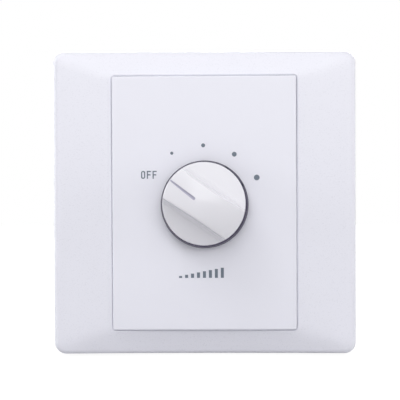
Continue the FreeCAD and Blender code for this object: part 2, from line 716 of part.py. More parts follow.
def dome(lowered):
    """The ball whose front is the knob's dome, lowered by an amount."""
    return Part.makeSphere(DOME_RADIUS - lowered, Vector(0, front_of_panel(KNOB_HEIGHT - DOME_RADIUS), 0))


def ring_seat_radius():
    return CAP_RADIUS - RING_SEAT_WALL


def scoop(side):
    """The space beside the grip ridge, with a rounded foot."""
    top_half = RIDGE_TOP_WIDTH / 2
    foot_half = RIDGE_FOOT_WIDTH / 2
    far = CAP_RADIUS + PAST
    run = CAP_RADIUS + PAST
    lean = (foot_half - top_half) / (KNOB_HEIGHT - SCOOP_HEIGHT)
    fall = (SCOOP_HEIGHT - SCOOP_RIM_HEIGHT) / (CAP_RADIUS - foot_half)
    over = KNOB_HEIGHT + PAST
    wall_foot = Vector(-run, front_of_panel(SCOOP_HEIGHT + SCOOP_ROUND), foot_half - lean * SCOOP_ROUND)
    wall_top = Vector(-run, front_of_panel(over), top_half - lean * (over - KNOB_HEIGHT))
    outer_top = Vector(-run, front_of_panel(over), far)
    outer_foot = Vector(-run, front_of_panel(SCOOP_RIM_HEIGHT - fall * (far - CAP_RADIUS)), far)
    floor_start = Vector(-run, front_of_panel(SCOOP_HEIGHT - fall * SCOOP_ROUND), foot_half + SCOOP_ROUND)
    bow = SCOOP_ROUND * (1 - math.sqrt(0.5))
    round_middle = Vector(-run, front_of_panel(SCOOP_HEIGHT + bow), foot_half + bow)
    outline = Part.Wire([Part.makeLine(wall_foot, wall_top),
                         Part.makeLine(wall_top, outer_top),
                         Part.makeLine(outer_top, outer_foot),
                         Part.makeLine(outer_foot, floor_start),
                         Part.Arc(floor_start, round_middle, wall_foot).toShape()])
    space = Part.Face(outline).extrude(Vector(2 * run, 0, 0))
    if side < 0:
        space = space.mirror(Vector(0, 0, 0), Vector(0, 0, 1))
    return space


def ridge_edges(shape):
    """The long upper edges of the grip ridge."""
    found = []
    for edge in shape.Edges:
        middle = edge.valueAt((edge.FirstParameter + edge.LastParameter) / 2)
        high = middle.y < front_of_panel((KNOB_HEIGHT + SCOOP_HEIGHT) / 2)
        across = RIDGE_TOP_WIDTH / 4 < abs(middle.z) < RIDGE_FOOT_WIDTH / 2
        if high and across and abs(middle.x) < CAP_RADIUS / 4:
            found.append(edge)
    return found


def rim_edges(shape):
    """The front edges of the cap that lie on its outside."""
    found = []
    for edge in shape.Edges:
        middle = edge.valueAt((edge.FirstParameter + edge.LastParameter) / 2)
        on_outside = math.hypot(middle.x, middle.z) > CAP_TOP_RADIUS - CAP_RIM_ROUND
        if on_outside and middle.y < front_of_panel(SCOOP_RIM_HEIGHT - CAP_RIM_ROUND):
            found.append(edge)
    return found


def pointer_slot():
    """The groove that marks where the knob points, narrower towards the rim, of any depth."""
    start = CAP_RADIUS - POINTER_LENGTH
    end = CAP_RADIUS + PAST
    half = POINTER_WIDTH / 2
    end_half = half - (half - POINTER_RIM_WIDTH / 2) * (end - start) / POINTER_LENGTH
    height = (front_of_panel(KNOB_HEIGHT + PAST), front_of_panel(SCOOP_HEIGHT))
    middle = POINTER_SIDE_OFFSET
    corners = [Vector(start, height[0], middle - half), Vector(end, height[0], middle - end_half),
               Vector(end, height[0], middle + end_half), Vector(start, height[0], middle + half)]
    outline = Part.Face(Part.makePolygon(corners + corners[:1]))
    slot = joined([outline.extrude(Vector(0, height[1] - height[0], 0)), rod(half, height, start, middle)])
    slot.rotate(Vector(start, 0, middle), Vector(0, -1, 0), -POINTER_SKEW)
    return slot


def cap_outside():
    """The cap's outside without its scoops, groove and hollows."""
    seat = ring_seat_radius()
    shoulder = KNOB_LIFT + RING_HEIGHT
    over = KNOB_HEIGHT + PAST
    body = turned([(0, front_of_panel(KNOB_LIFT)),
                   (seat, front_of_panel(KNOB_LIFT)),
                   (seat, front_of_panel(shoulder)),
                   (CAP_RADIUS, front_of_panel(shoulder)),
                   (CAP_TOP_RADIUS, front_of_panel(KNOB_HEIGHT)),
                   (CAP_TOP_RADIUS, front_of_panel(over)),
                   (0, front_of_panel(over))])
    return body.common(dome(0.0))


def knob_cap():
    body = without(cap_outside(), [scoop(1), scoop(-1)])
    body = body.makeFillet(RIDGE_EDGE_ROUND, ridge_edges(body))
    body = body.makeFillet(CAP_RIM_ROUND, rim_edges(body))
    body = body.cut(pointer_slot().cut(dome(POINTER_DEPTH)))
    return spun(hollowed_cap(body), POINTER_REST_ANGLE)


def pointer_paint():
    """The line of paint on the floor of the groove."""
    layer = pointer_slot().common(dome(POINTER_DEPTH - POINTER_PAINT)).cut(dome(POINTER_DEPTH))
    edge = rod(CAP_TOP_RADIUS, (front_of_panel(KNOB_HEIGHT), front_of_panel(0)))
    return spun(layer.common(edge), POINTER_REST_ANGLE)


def hollowed_cap(body):
    """The cap with its hollow foot, its hollow ridge and the hub round the shaft."""
    seat = ring_seat_radius()
    foot_top = SCOOP_RIM_HEIGHT - CAP_FLOOR
    reach = seat - CAP_WALL
    foot = rod(reach, (front_of_panel(foot_top), front_of_panel(0)))
    full_depth = (front_of_panel(KNOB_HEIGHT), front_of_panel(0))
    ridge = box(centred(2 * reach), full_depth, centred(RIDGE_TOP_WIDTH - 2 * RIDGE_WALL))
    ridge = ridge.common(dome(RIDGE_WALL + POINTER_DEPTH / 2)).common(rod(reach, full_depth))
    hub = rod(HUB_RADIUS, (front_of_panel(KNOB_HEIGHT), front_of_panel(HUB_LIFT)))
    hollow = foot.fuse(ridge).cut(hub)
    bore_depth = (front_of_panel(SHAFT_REACH + SHAFT_END_GAP), front_of_panel(0))
    bore = rod(SHAFT_RADIUS + SHAFT_GAP, bore_depth)
    return without(body, [hollow, bore.cut(beyond_flat(SHAFT_FLAT + CLIP_THICKNESS, bore_depth))])


def knob_ring():
    low = front_of_panel(KNOB_LIFT)
    bevel = front_of_panel(KNOB_LIFT + RING_HEIGHT - RING_BEVEL_HEIGHT)
    top = front_of_panel(KNOB_LIFT + RING_HEIGHT)
    x, z = polar(RING_OFFSET, RING_OFFSET_ANGLE)
    outer = turned([(0, low), (RING_RADIUS, low), (RING_RADIUS, bevel),
                    (RING_RADIUS - RING_BEVEL, top), (0, top)], x, z)
    return outer.cut(rod(ring_seat_radius(), (top - PAST, low + PAST)))


def knob_clip():
    """The leaf that presses the shaft's flat inside the hub."""
    leaf = box(centred(CLIP_LEAF_WIDTH), (front_of_panel(SHAFT_REACH), front_of_panel(CLIP_LEAF_LIFT)),
               (SHAFT_FLAT + CLIP_LEAF_GAP, SHAFT_FLAT + CLIP_THICKNESS - CLIP_LEAF_GAP))
    return spun(leaf, POINTER_REST_ANGLE)


# Rotary switch

def switch_bushing():
    plate = rounded_block(SWITCH_PLATE_WIDTH, SWITCH_PLATE_HEIGHT, SWITCH_PLATE_CORNER,
                          (PANEL_BACK, SWITCH_PLATE_BACK))
    neck = rod(BUSHING_RADIUS, (front_of_panel(BUSHING_HEIGHT), SWITCH_PLATE_BACK))
    pin_front = PANEL_FACE + LOCATING_HOLE_FLOOR + LOCATING_PIN_END_GAP
    pin = rod(LOCATING_PIN_RADIUS, (pin_front, SWITCH_PLATE_BACK), 0, -LOCATING_PIN_PLACE)
    body = joined([plate, neck, pin])
    holes = [rod(SHAFT_RADIUS + SHAFT_GAP, (front_of_panel(KNOB_HEIGHT), SWITCH_PLATE_BACK + PAST))]
    for side in (-1, 1):
        holes.append(rod(TIE_SCREW_RADIUS + SCREW_THREAD_GAP, (PANEL_BACK - PAST, SWITCH_PLATE_BACK + PAST),
                         side * TIE_SCREW_X))
    return without(body, holes)


def switch_washer():
    return tube(WASHER_RADIUS, BUSHING_RADIUS + WASHER_GAP, (front_of_panel(WASHER_THICKNESS), PANEL_FACE))


def switch_nut():
    depth = (front_of_panel(WASHER_THICKNESS + NUT_THICKNESS), front_of_panel(WASHER_THICKNESS))
    nut = hexagon(NUT_ACROSS_FLATS, depth)
    corner_radius = NUT_ACROSS_FLATS / math.sqrt(3)
    crown = turned([(0, depth[0]), (NUT_ACROSS_FLATS / 2, depth[0]), (corner_radius, depth[0] + NUT_CHAMFER),
                    (corner_radius, depth[1]), (0, depth[1])])
    return nut.common(crown).cut(rod(BUSHING_RADIUS + NUT_THREAD_GAP, (depth[0] - PAST, depth[1] + PAST)))


def shaft_back():
    return WAFER_PLACE + WAFER_THICKNESS + SHAFT_TAIL


def shaft_clip_depth():
    """Y of the retaining ring's front and back."""
    back = front_of_panel(BUSHING_HEIGHT + CLIP_LIFT)
    return (back - CLIP_THICKNESS, back)


def beyond_flat(level, depth):
    """The space on the side of the shaft's flat, from a level outwards."""
    reach = 2 * BUSHING_RADIUS
    return box(centred(2 * reach), depth, (level, reach))


def switch_shaft():
    front = front_of_panel(SHAFT_REACH)
    body = rod(SHAFT_RADIUS, (front, shaft_back()))
    rim = [edge for edge in body.Edges if edge.BoundBox.YMax < front + TOUCHING]
    body = body.makeChamfer(SHAFT_CHAMFER, rim)
    flat = beyond_flat(SHAFT_FLAT, (front - PAST, front + SHAFT_FLAT_LENGTH))
    groove = tube(SHAFT_RADIUS + PAST, SHAFT_RADIUS - CLIP_GROOVE, shaft_clip_depth())
    drive_start = detent_wheel_depth()[0] - STOP_LUG_THICKNESS
    drive_flat = beyond_flat(DRIVE_FLAT, (drive_start, shaft_back() + PAST))
    return spun(without(body, [flat, groove, drive_flat]), POINTER_REST_ANGLE)


def shaft_clip():
    """The open retaining ring in the shaft's groove, in front of the bushing."""
    depth = shaft_clip_depth()
    ring = tube(CLIP_RADIUS, SHAFT_RADIUS - CLIP_GROOVE + DRIVE_GAP, depth)
    mouth = box((0, CLIP_RADIUS + PAST), depth, centred(CLIP_MOUTH))
    return spun(ring.cut(mouth), POINTER_REST_ANGLE)


def drive_bore(depth):
    """A hole for the shaft with the flat that turns what sits on it."""
    bore = rod(SHAFT_RADIUS + DRIVE_GAP, depth)
    return bore.cut(beyond_flat(DRIVE_FLAT + DRIVE_GAP, depth))


def detent_wheel_depth():
    start = SWITCH_PLATE_BACK + STOP_LUG_GAP + STOP_LUG_THICKNESS
    return (start, start + DETENT_WHEEL_THICKNESS)


def ball_centre_radius():
    return DETENT_WHEEL_RADIUS + DETENT_BALL_GAP + DETENT_BALL_RADIUS


def ball_centre_y():
    depth = detent_wheel_depth()
    return (depth[0] + depth[1]) / 2


def lug_rest_angle():
    """Middle of the stop lug with the knob at OFF."""
    return POINTER_REST_ANGLE


def detent_wheel():
    """The notched wheel on the shaft, with the lug that meets the stops."""
    depth = detent_wheel_depth()
    wheel = rod(DETENT_WHEEL_RADIUS, depth)
    notch_radius = DETENT_BALL_RADIUS + DETENT_BALL_GAP
    notch_centre = DETENT_WHEEL_RADIUS - DETENT_NOTCH_DEPTH + notch_radius
    deep = (depth[0] - PAST, depth[1] + PAST)
    for index in range(int(360 / STEP_ANGLE)):
        x, z = polar(notch_centre, 90 + index * STEP_ANGLE)
        wheel = wheel.cut(rod(notch_radius, deep, x, z))
    lug_depth = (depth[0] - STOP_LUG_THICKNESS, depth[0])
    lug = sector(SHAFT_RADIUS + DETENT_COLLAR / 2, DETENT_WHEEL_RADIUS, lug_depth,
                 lug_rest_angle() - STOP_LUG_ANGLE / 2, STOP_LUG_ANGLE)
    collar = rod(SHAFT_RADIUS + DETENT_COLLAR, lug_depth)
    body = joined([wheel, lug, collar])
    bore = drive_bore((lug_depth[0] - PAST, depth[1] + PAST))
    return body.cut(spun(bore, POINTER_REST_ANGLE))


def detent_housing():
    """The ring round the notched wheel, with two ball pockets, two ears and the stops."""
    depth = (SWITCH_PLATE_BACK, DETENT_HOUSING_BACK)
    bore_radius = DETENT_HOUSING_RADIUS - DETENT_HOUSING_WALL
    body = rod(DETENT_HOUSING_RADIUS, depth)
    for side in (-1, 1):
        post = rod(DETENT_EAR_RADIUS, depth, side * TIE_SCREW_X)
        web = box(tuple(sorted((0, side * TIE_SCREW_X))), (depth[1] - DETENT_EAR_THICKNESS, depth[1]),
                  centred(2 * DETENT_EAR_RADIUS))
        body = body.fuse(post).fuse(web)
    deep = (depth[0] - PAST, depth[1] + PAST)
    body = body.cut(rod(bore_radius, deep))
    lug_depth = (depth[0], detent_wheel_depth()[0] - DETENT_RUNNING_GAP)
    travel = STEP_ANGLE * (STEP_COUNT - 1)
    stop_sweep = 360 - travel - STOP_LUG_ANGLE - 2 * STOP_MARGIN
    stop_start = lug_rest_angle() + STOP_LUG_ANGLE / 2 + STOP_MARGIN
    stop = sector(STOP_INNER_RADIUS, bore_radius + DETENT_HOUSING_WALL / 2, lug_depth, stop_start, stop_sweep)
    body = joined([body, stop])
    for side in (-1, 1):
        body = body.cut(rod(TIE_SCREW_RADIUS + SCREW_HOLE_GAP, deep, side * TIE_SCREW_X))
        pocket = Part.makeCylinder(DETENT_BALL_RADIUS + DETENT_BALL_GAP, DETENT_HOUSING_RADIUS + PAST,
                                   Vector(0, ball_centre_y(), 0), Vector(0, 0, side))
        body = body.cut(pocket)
    return body


def detent_balls():
    return [Part.makeSphere(DETENT_BALL_RADIUS, Vector(0, ball_centre_y(), side * ball_centre_radius()))
            for side in (-1, 1)]


def detent_spring():
    """The open spring band that presses both balls inwards."""
    inner = ball_centre_radius() + DETENT_BALL_RADIUS
    depth = centred(DETENT_SPRING_WIDTH, ball_centre_y())
    bands = []
    for middle in (90, 270):
        bands.append(sector(inner, inner + DETENT_SPRING_THICKNESS, depth,
                            middle - DETENT_SPRING_SWEEP / 2, DETENT_SPRING_SWEEP))
    return bands


def contact_rotor_depth():
    back = WAFER_PLACE - CONTACT_THICKNESS - WIPER_GAP - WIPER_THICKNESS
    return (back - ROTOR_THICKNESS, back)


def contact_rotor():
    """The insulating disc that carries the wiper."""
    depth = contact_rotor_depth()
    disc = rod(ROTOR_RADIUS, depth)
    hub = rod(ROTOR_HUB_RADIUS, (depth[0] - ROTOR_HUB_LENGTH, depth[0]))
    bore = drive_bore((depth[0] - ROTOR_HUB_LENGTH - PAST, depth[1] + PAST))
    return joined([disc, hub]).cut(spun(bore, POINTER_REST_ANGLE))


def wiper_contact():
    """The spring strip that joins the common ring to one fixed contact."""
    back = contact_rotor_depth()[1]
    depth = (back, back + WIPER_THICKNESS)
    reach = (COMMON_RING_INNER, CONTACT_CIRCLE_RADIUS + CONTACT_HEAD_RADIUS)
    strip = box(reach, depth, centred(WIPER_WIDTH))
    ring = tube(COMMON_RING_OUTER, COMMON_RING_INNER, depth)
    return spun(joined([strip, ring]), POINTER_REST_ANGLE)


def stator_wafer():
    depth = (WAFER_PLACE, WAFER_PLACE + WAFER_THICKNESS)
    body = rounded_block(SWITCH_PLATE_WIDTH, WAFER_HEIGHT, WAFER_CORNER, depth)
    deep = (depth[0] - PAST, depth[1] + PAST)
    holes = [rod(SHAFT_RADIUS + SHAFT_GAP, deep)]
    for side in (-1, 1):
        holes.append(rod(TIE_SCREW_RADIUS + SCREW_HOLE_GAP, deep, side * TIE_SCREW_X))
    for x, z in contact_pin_places():
        holes.append(rod(CONTACT_PIN_RADIUS + PIN_FIT, deep, x, z))
    return without(body, holes)


def contact_pin_places():
    """The pins of the five steps, and last the pin of the common ring."""
    places = [polar(CONTACT_CIRCLE_RADIUS, POINTER_REST_ANGLE - index * STEP_ANGLE)
              for index in range(STEP_COUNT)]
    common_radius = (COMMON_RING_INNER + COMMON_RING_OUTER) / 2
    places.append(polar(common_radius, COMMON_PIN_ANGLE))
    return places


def stator_contacts():
    face = (WAFER_PLACE - CONTACT_THICKNESS, WAFER_PLACE)
    pin_depth = (WAFER_PLACE - CONTACT_THICKNESS / 2, BOARD_BACK + PIN_PROUD)
    contacts = []
    for x, z in contact_pin_places()[:STEP_COUNT]:
        head = rod(CONTACT_HEAD_RADIUS, face, x, z)
        contacts.append(joined([head, rod(CONTACT_PIN_RADIUS, pin_depth, x, z)]))
    x, z = contact_pin_places()[STEP_COUNT]
    ring = tube(COMMON_RING_OUTER, COMMON_RING_INNER, face)
    contacts.append(joined([ring, rod(CONTACT_PIN_RADIUS, pin_depth, x, z)]))
    return contacts


def switch_spacers():
    depth = (DETENT_HOUSING_BACK, WAFER_PLACE)
    return [tube(DETENT_EAR_RADIUS, TIE_SCREW_RADIUS + SCREW_HOLE_GAP, depth, side * TIE_SCREW_X)
            for side in (-1, 1)]


def switch_tie_screws():
    screws = []
    back = WAFER_PLACE + WAFER_THICKNESS
    for side in (-1, 1):
        x = side * TIE_SCREW_X
        shank = rod(TIE_SCREW_RADIUS, (PANEL_BACK + TIE_SCREW_INSET, back), x)
        head = rod(TIE_HEAD_RADIUS, (back, back + TIE_HEAD_HEIGHT), x)
        slot_start = back + TIE_HEAD_HEIGHT - TIE_SLOT_DEPTH
        slot = box(centred(3 * TIE_HEAD_RADIUS, x), (slot_start, slot_start + PAST), centred(TIE_SLOT_WIDTH))
        screws.append(joined([shank, head]).cut(slot))
    return screws


# Circuit board and its fixings

def terminal_middle_x(index):
    return (index - (TERMINAL_COUNT - 1) / 2) * TERMINAL_PITCH


def terminal_pin_z():
    return TERMINAL_BOTTOM_Z + TERMINAL_DEPTH - TERMINAL_PIN_INSET


def bobbin_pin_places():
    places = []
    for side in (-1, 1):
        z = TRANSFORMER_Z + side * BOBBIN_PIN_REACH
        for step in (-1, 0, 1):
            places.append((step * BOBBIN_PIN_PITCH, z))
    return places


def strap_screw_places():
    reach = CORE_WIDTH / 2 + STRAP_THICKNESS + STRAP_FOOT / 2
    return [(-reach, TRANSFORMER_Z), (reach, TRANSFORMER_Z)]


def circuit_board():
    depth = (BOARD_PLACE, BOARD_BACK)
    height = BOARD_TOP - BOARD_BOTTOM
    body = rounded_block(BOARD_WIDTH, height, BOARD_CORNER, depth, 0, (BOARD_TOP + BOARD_BOTTOM) / 2)
    deep = (depth[0] - PAST, depth[1] + PAST)
    holes = [rod(TAPPING_SCREW_RADIUS + SCREW_HOLE_GAP, deep, x, z) for x, z in board_screw_places()]
    holes += [rod(STRAP_SCREW_RADIUS + SCREW_HOLE_GAP, deep, x, z) for x, z in strap_screw_places()]
    holes += [rod(CONTACT_PIN_RADIUS + PIN_HOLE_GAP, deep, x, z) for x, z in contact_pin_places()]
    holes += [rod(BOBBIN_PIN_RADIUS + PIN_HOLE_GAP, deep, x, z) for x, z in bobbin_pin_places()]
    for index in range(TERMINAL_COUNT):
        holes.append(rod(CONTACT_PIN_RADIUS + PIN_HOLE_GAP, deep, terminal_middle_x(index), terminal_pin_z()))
    return without(body, holes)


def solder_cone(radius, face, direction, x, z):
    """A fillet of solder round a pin, on one face of the board."""
    tip = face + direction * SOLDER_HEIGHT
    shoulder = face + direction * SOLDER_SHOULDER_HEIGHT
    return turned([(radius, face), (SOLDER_RADIUS, face), (SOLDER_SHOULDER_RADIUS, shoulder),
                   (radius + SOLDER_NECK, tip), (radius, tip)], x, z)


def solder_joints():
    joints = []
    for x, z in contact_pin_places():
        joints.append(solder_cone(CONTACT_PIN_RADIUS, BOARD_BACK, 1, x, z))
    for x, z in bobbin_pin_places():
        joints.append(solder_cone(BOBBIN_PIN_RADIUS, BOARD_PLACE, -1, x, z))
    for index in range(TERMINAL_COUNT):
        joints.append(solder_cone(CONTACT_PIN_RADIUS, BOARD_PLACE, -1,
                                  terminal_middle_x(index), terminal_pin_z()))
    return joints


def board_screws():
    return [tapping_screw(BOARD_BACK, -1, x, z, BOARD_THICKNESS) for x, z in board_screw_places()]


# Transformer

def core_depths():
    """Y of the board face, of the joint between I and E, and of the E's back."""
    joint = BOARD_BACK + CORE_LEG
    return BOARD_BACK, joint, BOARD_BACK + CORE_HEIGHT


def core_i_stack():
    low, joint, high = core_depths()
    return box(centred(CORE_WIDTH), (low, joint), centred(CORE_STACK, TRANSFORMER_Z))


def core_e_stack():
    low, joint, high = core_depths()
    body = box(centred(CORE_WIDTH), (joint, high), centred(CORE_STACK, TRANSFORMER_Z))
    inner = CORE_CENTRE_LEG / 2
    outer = CORE_WIDTH / 2 - CORE_LEG
    windows = [box(tuple(sorted((side * inner, side * outer))), (joint - PAST, high - CORE_LEG),
                   centred(CORE_STACK + 2 * PAST, TRANSFORMER_Z)) for side in (-1, 1)]
    return without(body, windows)


def bobbin_sizes():
    """Inside and outside sizes of the bobbin's tube along X and Z."""
    inner_x = CORE_CENTRE_LEG + 2 * BOBBIN_GAP
    inner_z = CORE_STACK + 2 * BOBBIN_GAP
    return inner_x, inner_z, inner_x + 2 * BOBBIN_WALL, inner_z + 2 * BOBBIN_WALL


def bobbin_depth():
    low, joint, high = core_depths()
    return (joint + BOBBIN_GAP, high - CORE_LEG - BOBBIN_GAP)


def flange_sizes():
    width = CORE_WIDTH - 2 * CORE_LEG - 2 * BOBBIN_GAP
    height = CORE_STACK + 2 * BOBBIN_OVERHANG
    return width, height


def transformer_bobbin():
    inner_x, inner_z, outer_x, outer_z = bobbin_sizes()
    low, high = bobbin_depth()
    width, height = flange_sizes()
    parts = [box(centred(outer_x), (low, high), centred(outer_z, TRANSFORMER_Z))]
    for start in (low, high - BOBBIN_FLANGE):
        parts.append(rounded_block(width, height, BOBBIN_CORNER, (start, start + BOBBIN_FLANGE),
                                   0, TRANSFORMER_Z))
    for side in (-1, 1):
        near = TRANSFORMER_Z + side * (CORE_STACK / 2 + BOBBIN_OVERHANG)
        far = near - side * BOBBIN_RAIL_WIDTH
        parts.append(box(centred(width - 2 * BOBBIN_RAIL_INSET),
                         (BOARD_BACK + BOBBIN_RAIL_GAP, low + BOBBIN_FLANGE / 2), tuple(sorted((near, far)))))
    body = joined(parts)
    cuts = [box(centred(inner_x), (low - PAST, high + PAST), centred(inner_z, TRANSFORMER_Z))]
    for x, z in bobbin_pin_places():
        cuts.append(rod(BOBBIN_PIN_RADIUS + PIN_FIT, (BOARD_BACK, bobbin_pin_top()), x, z))
    return without(body, cuts)


def bobbin_pin_top():
    return core_depths()[1] - BOBBIN_PIN_END_GAP


def bobbin_pins():
    return [rod(BOBBIN_PIN_RADIUS, (BOARD_PLACE - PIN_PROUD, bobbin_pin_top()), x, z)
            for x, z in bobbin_pin_places()]


def winding_depth():
    low, high = bobbin_depth()
    return (low + BOBBIN_FLANGE, high - BOBBIN_FLANGE)


def wound_ring(inner_build, outer_build):
    """A wound layer round the bobbin's tube between two thicknesses of build."""
    inner_x, inner_z, outer_x, outer_z = bobbin_sizes()
    depth = winding_depth()
    layers = []
    for build in (inner_build, outer_build):
        width = outer_x + 2 * build
        height = outer_z + 2 * build
        if build > 0:
            layers.append(rounded_block(width, height, build * WINDING_ROUNDNESS, depth, 0, TRANSFORMER_Z))
        else:
            layers.append(box(centred(width), depth, centred(height, TRANSFORMER_Z)))
    return layers[1].cut(layers[0])


def transformer_winding():
    return wound_ring(0.0, WINDING_THICKNESS)


def winding_tape():
    return wound_ring(WINDING_THICKNESS, WINDING_THICKNESS + TAPE_THICKNESS)


def transformer_strap():
    """The steel strap over the core, with a screwed foot each side."""
    low, joint, high = core_depths()
    width = centred(STRAP_WIDTH, TRANSFORMER_Z)
    outer = CORE_WIDTH / 2 + STRAP_THICKNESS
    body = box((-outer, outer), (low, high + STRAP_THICKNESS), width)
    bends = [edge for edge in body.Edges if edge.BoundBox.YMin > high + STRAP_THICKNESS - TOUCHING
             and abs(edge.tangentAt(edge.FirstParameter).z) > 0.9]
    body = body.makeFillet(STRAP_THICKNESS, bends)
    body = body.cut(box(centred(CORE_WIDTH), (low - PAST, high), width))
    foot_depth = (low, low + STRAP_THICKNESS)
    feet = [box(tuple(sorted((side * outer, side * (outer + STRAP_FOOT)))), foot_depth, width)
            for side in (-1, 1)]
    body = joined([body] + feet)
    through = (low - PAST, low + STRAP_THICKNESS + PAST)
    return without(body, [rod(STRAP_SCREW_RADIUS + SCREW_HOLE_GAP, through, x, z)
                          for x, z in strap_screw_places()])


def strap_screws():
    screws = []
    seat = BOARD_BACK + STRAP_THICKNESS
    for x, z in strap_screw_places():
        head = rod(STRAP_HEAD_RADIUS, (seat, seat + STRAP_HEAD_HEIGHT), x, z)
        crown = [edge for edge in head.Edges if edge.BoundBox.YMin > seat + STRAP_HEAD_HEIGHT - TOUCHING]
        head = head.makeFillet(STRAP_CROWN_ROUND, crown)
        shank_front = BOARD_PLACE - STRAP_NUT_THICKNESS - STRAP_SCREW_PROUD
        shank = rod(STRAP_SCREW_RADIUS, (shank_front, seat), x, z)
        recess = (seat + STRAP_HEAD_HEIGHT - STRAP_RECESS_DEPTH, seat + STRAP_HEAD_HEIGHT)
        slots = [box(centred(STRAP_RECESS_LENGTH, x), recess, centred(STRAP_RECESS_WIDTH, z)),
                 box(centred(STRAP_RECESS_WIDTH, x), recess, centred(STRAP_RECESS_LENGTH, z))]
        screws.append(without(joined([head, shank]), slots))
    return screws


def strap_nuts():
    depth = (BOARD_PLACE - STRAP_NUT_THICKNESS, BOARD_PLACE)
    return [hexagon(STRAP_NUT_FLATS, depth, x, z).cut(rod(STRAP_SCREW_RADIUS + NUT_THREAD_GAP, depth, x, z))
            for x, z in strap_screw_places()]


# Screw terminals

def clamp_rest_depth():
    """Y of the clamp's back wall, opening and front wall with the terminal open."""
    start = BOARD_BACK + TERMINAL_WALL + CLAMP_GAP
    return start, start + CLAMP_WALL, start + CLAMP_WALL + CLAMP_OPENING, \
        start + CLAMP_WALL + CLAMP_OPENING + CLAMP_TOP_WALL


def clamp_z():
    """Z of the middle of the clamps and of their screws."""
    return TERMINAL_BOTTOM_Z + CLAMP_INSET + CLAMP_LENGTH / 2


def bar_depth():
    """Y of the fixed bar inside the clamps."""
    start = clamp_rest_depth()[1] + WIRE_ENTRY_HEIGHT + TERMINAL_BAR_LIFT
    return (start, start + TERMINAL_BAR_THICKNESS)


def terminal_back():
    return BOARD_BACK + TERMINAL_HEIGHT


def screw_head_depth():
    """Y of the terminal screws' heads, clear of the raised clamp."""
    start = clamp_rest_depth()[3] + CLAMP_TRAVEL + CLAMP_GAP
    return (start, start + TERMINAL_HEAD_HEIGHT)


def terminal_block():
    width = TERMINAL_COUNT * TERMINAL_PITCH + 2 * TERMINAL_END_WALL
    z_range = (TERMINAL_BOTTOM_Z, TERMINAL_BOTTOM_Z + TERMINAL_DEPTH)
    body = box(centred(width), (BOARD_BACK, terminal_back()), z_range)
    step = box(centred(width + 2 * PAST), (terminal_back() - TERMINAL_STEP_HEIGHT, terminal_back() + PAST),
               (z_range[1] - TERMINAL_STEP_DEPTH, z_range[1] + PAST))
    body = body.cut(step)
    cuts = []
    low, opening, top_wall, top = clamp_rest_depth()
    cavity_depth = (low - CLAMP_GAP, top + CLAMP_TRAVEL + CLAMP_GAP / 2)
    for index in range(TERMINAL_COUNT):
        x = terminal_middle_x(index)
        cuts.append(box(centred(CLAMP_WIDTH + 2 * CLAMP_GAP, x), cavity_depth,
                        centred(CLAMP_LENGTH + 2 * CLAMP_GAP, clamp_z())))
        head_hole_depth = (cavity_depth[1] - PAST, terminal_back() + PAST)
        cuts.append(rod(TERMINAL_HEAD_RADIUS + CLAMP_GAP / 2, head_hole_depth, x, clamp_z()))
        cuts.append(box(centred(WIRE_ENTRY_WIDTH, x), (opening, opening + WIRE_ENTRY_HEIGHT),
                        (TERMINAL_BOTTOM_Z - PAST, clamp_z())))
        bar = bar_depth()
        cuts.append(box(centred(TERMINAL_BAR_WIDTH + 2 * TERMINAL_BAR_GAP, x),
                        (bar[0] - TERMINAL_BAR_GAP, bar[1] + TERMINAL_BAR_GAP),
                        (clamp_z(), terminal_pin_z() + TERMINAL_BAR_END + TERMINAL_BAR_GAP)))
        cuts.append(rod(CONTACT_PIN_RADIUS + PIN_FIT, (BOARD_BACK - PAST, bar[1]), x, terminal_pin_z()))
    return without(body, cuts)


def terminal_bars():
    """The fixed bars inside the clamps, each with its pin through the board."""
    bars = []
    for index in range(TERMINAL_COUNT):
        x = terminal_middle_x(index)
        bar = box(centred(TERMINAL_BAR_WIDTH, x), bar_depth(),
                  (clamp_z() - CLAMP_LENGTH / 2 + CLAMP_GAP, terminal_pin_z() + TERMINAL_BAR_END))
        pin = rod(CONTACT_PIN_RADIUS, (BOARD_PLACE - PIN_PROUD, bar_depth()[1]), x, terminal_pin_z())
        bars.append(joined([bar, pin]))
    return bars


def terminal_clamp(index):
    """One rising clamp: a loop round the fixed bar, threaded for its screw."""
    x = terminal_middle_x(index)
    low, opening, top_wall, top = clamp_rest_depth()
    body = box(centred(CLAMP_WIDTH, x), (low, top), centred(CLAMP_LENGTH, clamp_z()))
    loop = box(centred(TERMINAL_BAR_WIDTH + 2 * CLAMP_GAP, x), (opening, top_wall),
               centred(CLAMP_LENGTH + 2 * PAST, clamp_z()))
    hole = rod(TERMINAL_SCREW_RADIUS + CLAMP_SCREW_GAP, (top_wall - PAST, top + PAST), x, clamp_z())
    return without(body, [loop, hole])


def terminal_screw(index):
    """One terminal screw, standing on the fixed bar."""
    x = terminal_middle_x(index)
    head_depth = screw_head_depth()
    head = rod(TERMINAL_HEAD_RADIUS, head_depth, x, clamp_z())
    shank = rod(TERMINAL_SCREW_RADIUS, (bar_depth()[1] + CLAMP_SCREW_GAP, head_depth[0]), x, clamp_z())
    slot_depth = (head_depth[1] - TERMINAL_SLOT_DEPTH, head_depth[1])
    slot = box(centred(TERMINAL_HEAD_RADIUS * 3, x), slot_depth, centred(TERMINAL_SLOT_WIDTH, clamp_z()))
    return joined([head, shank]).cut(slot)


# Nodes and export

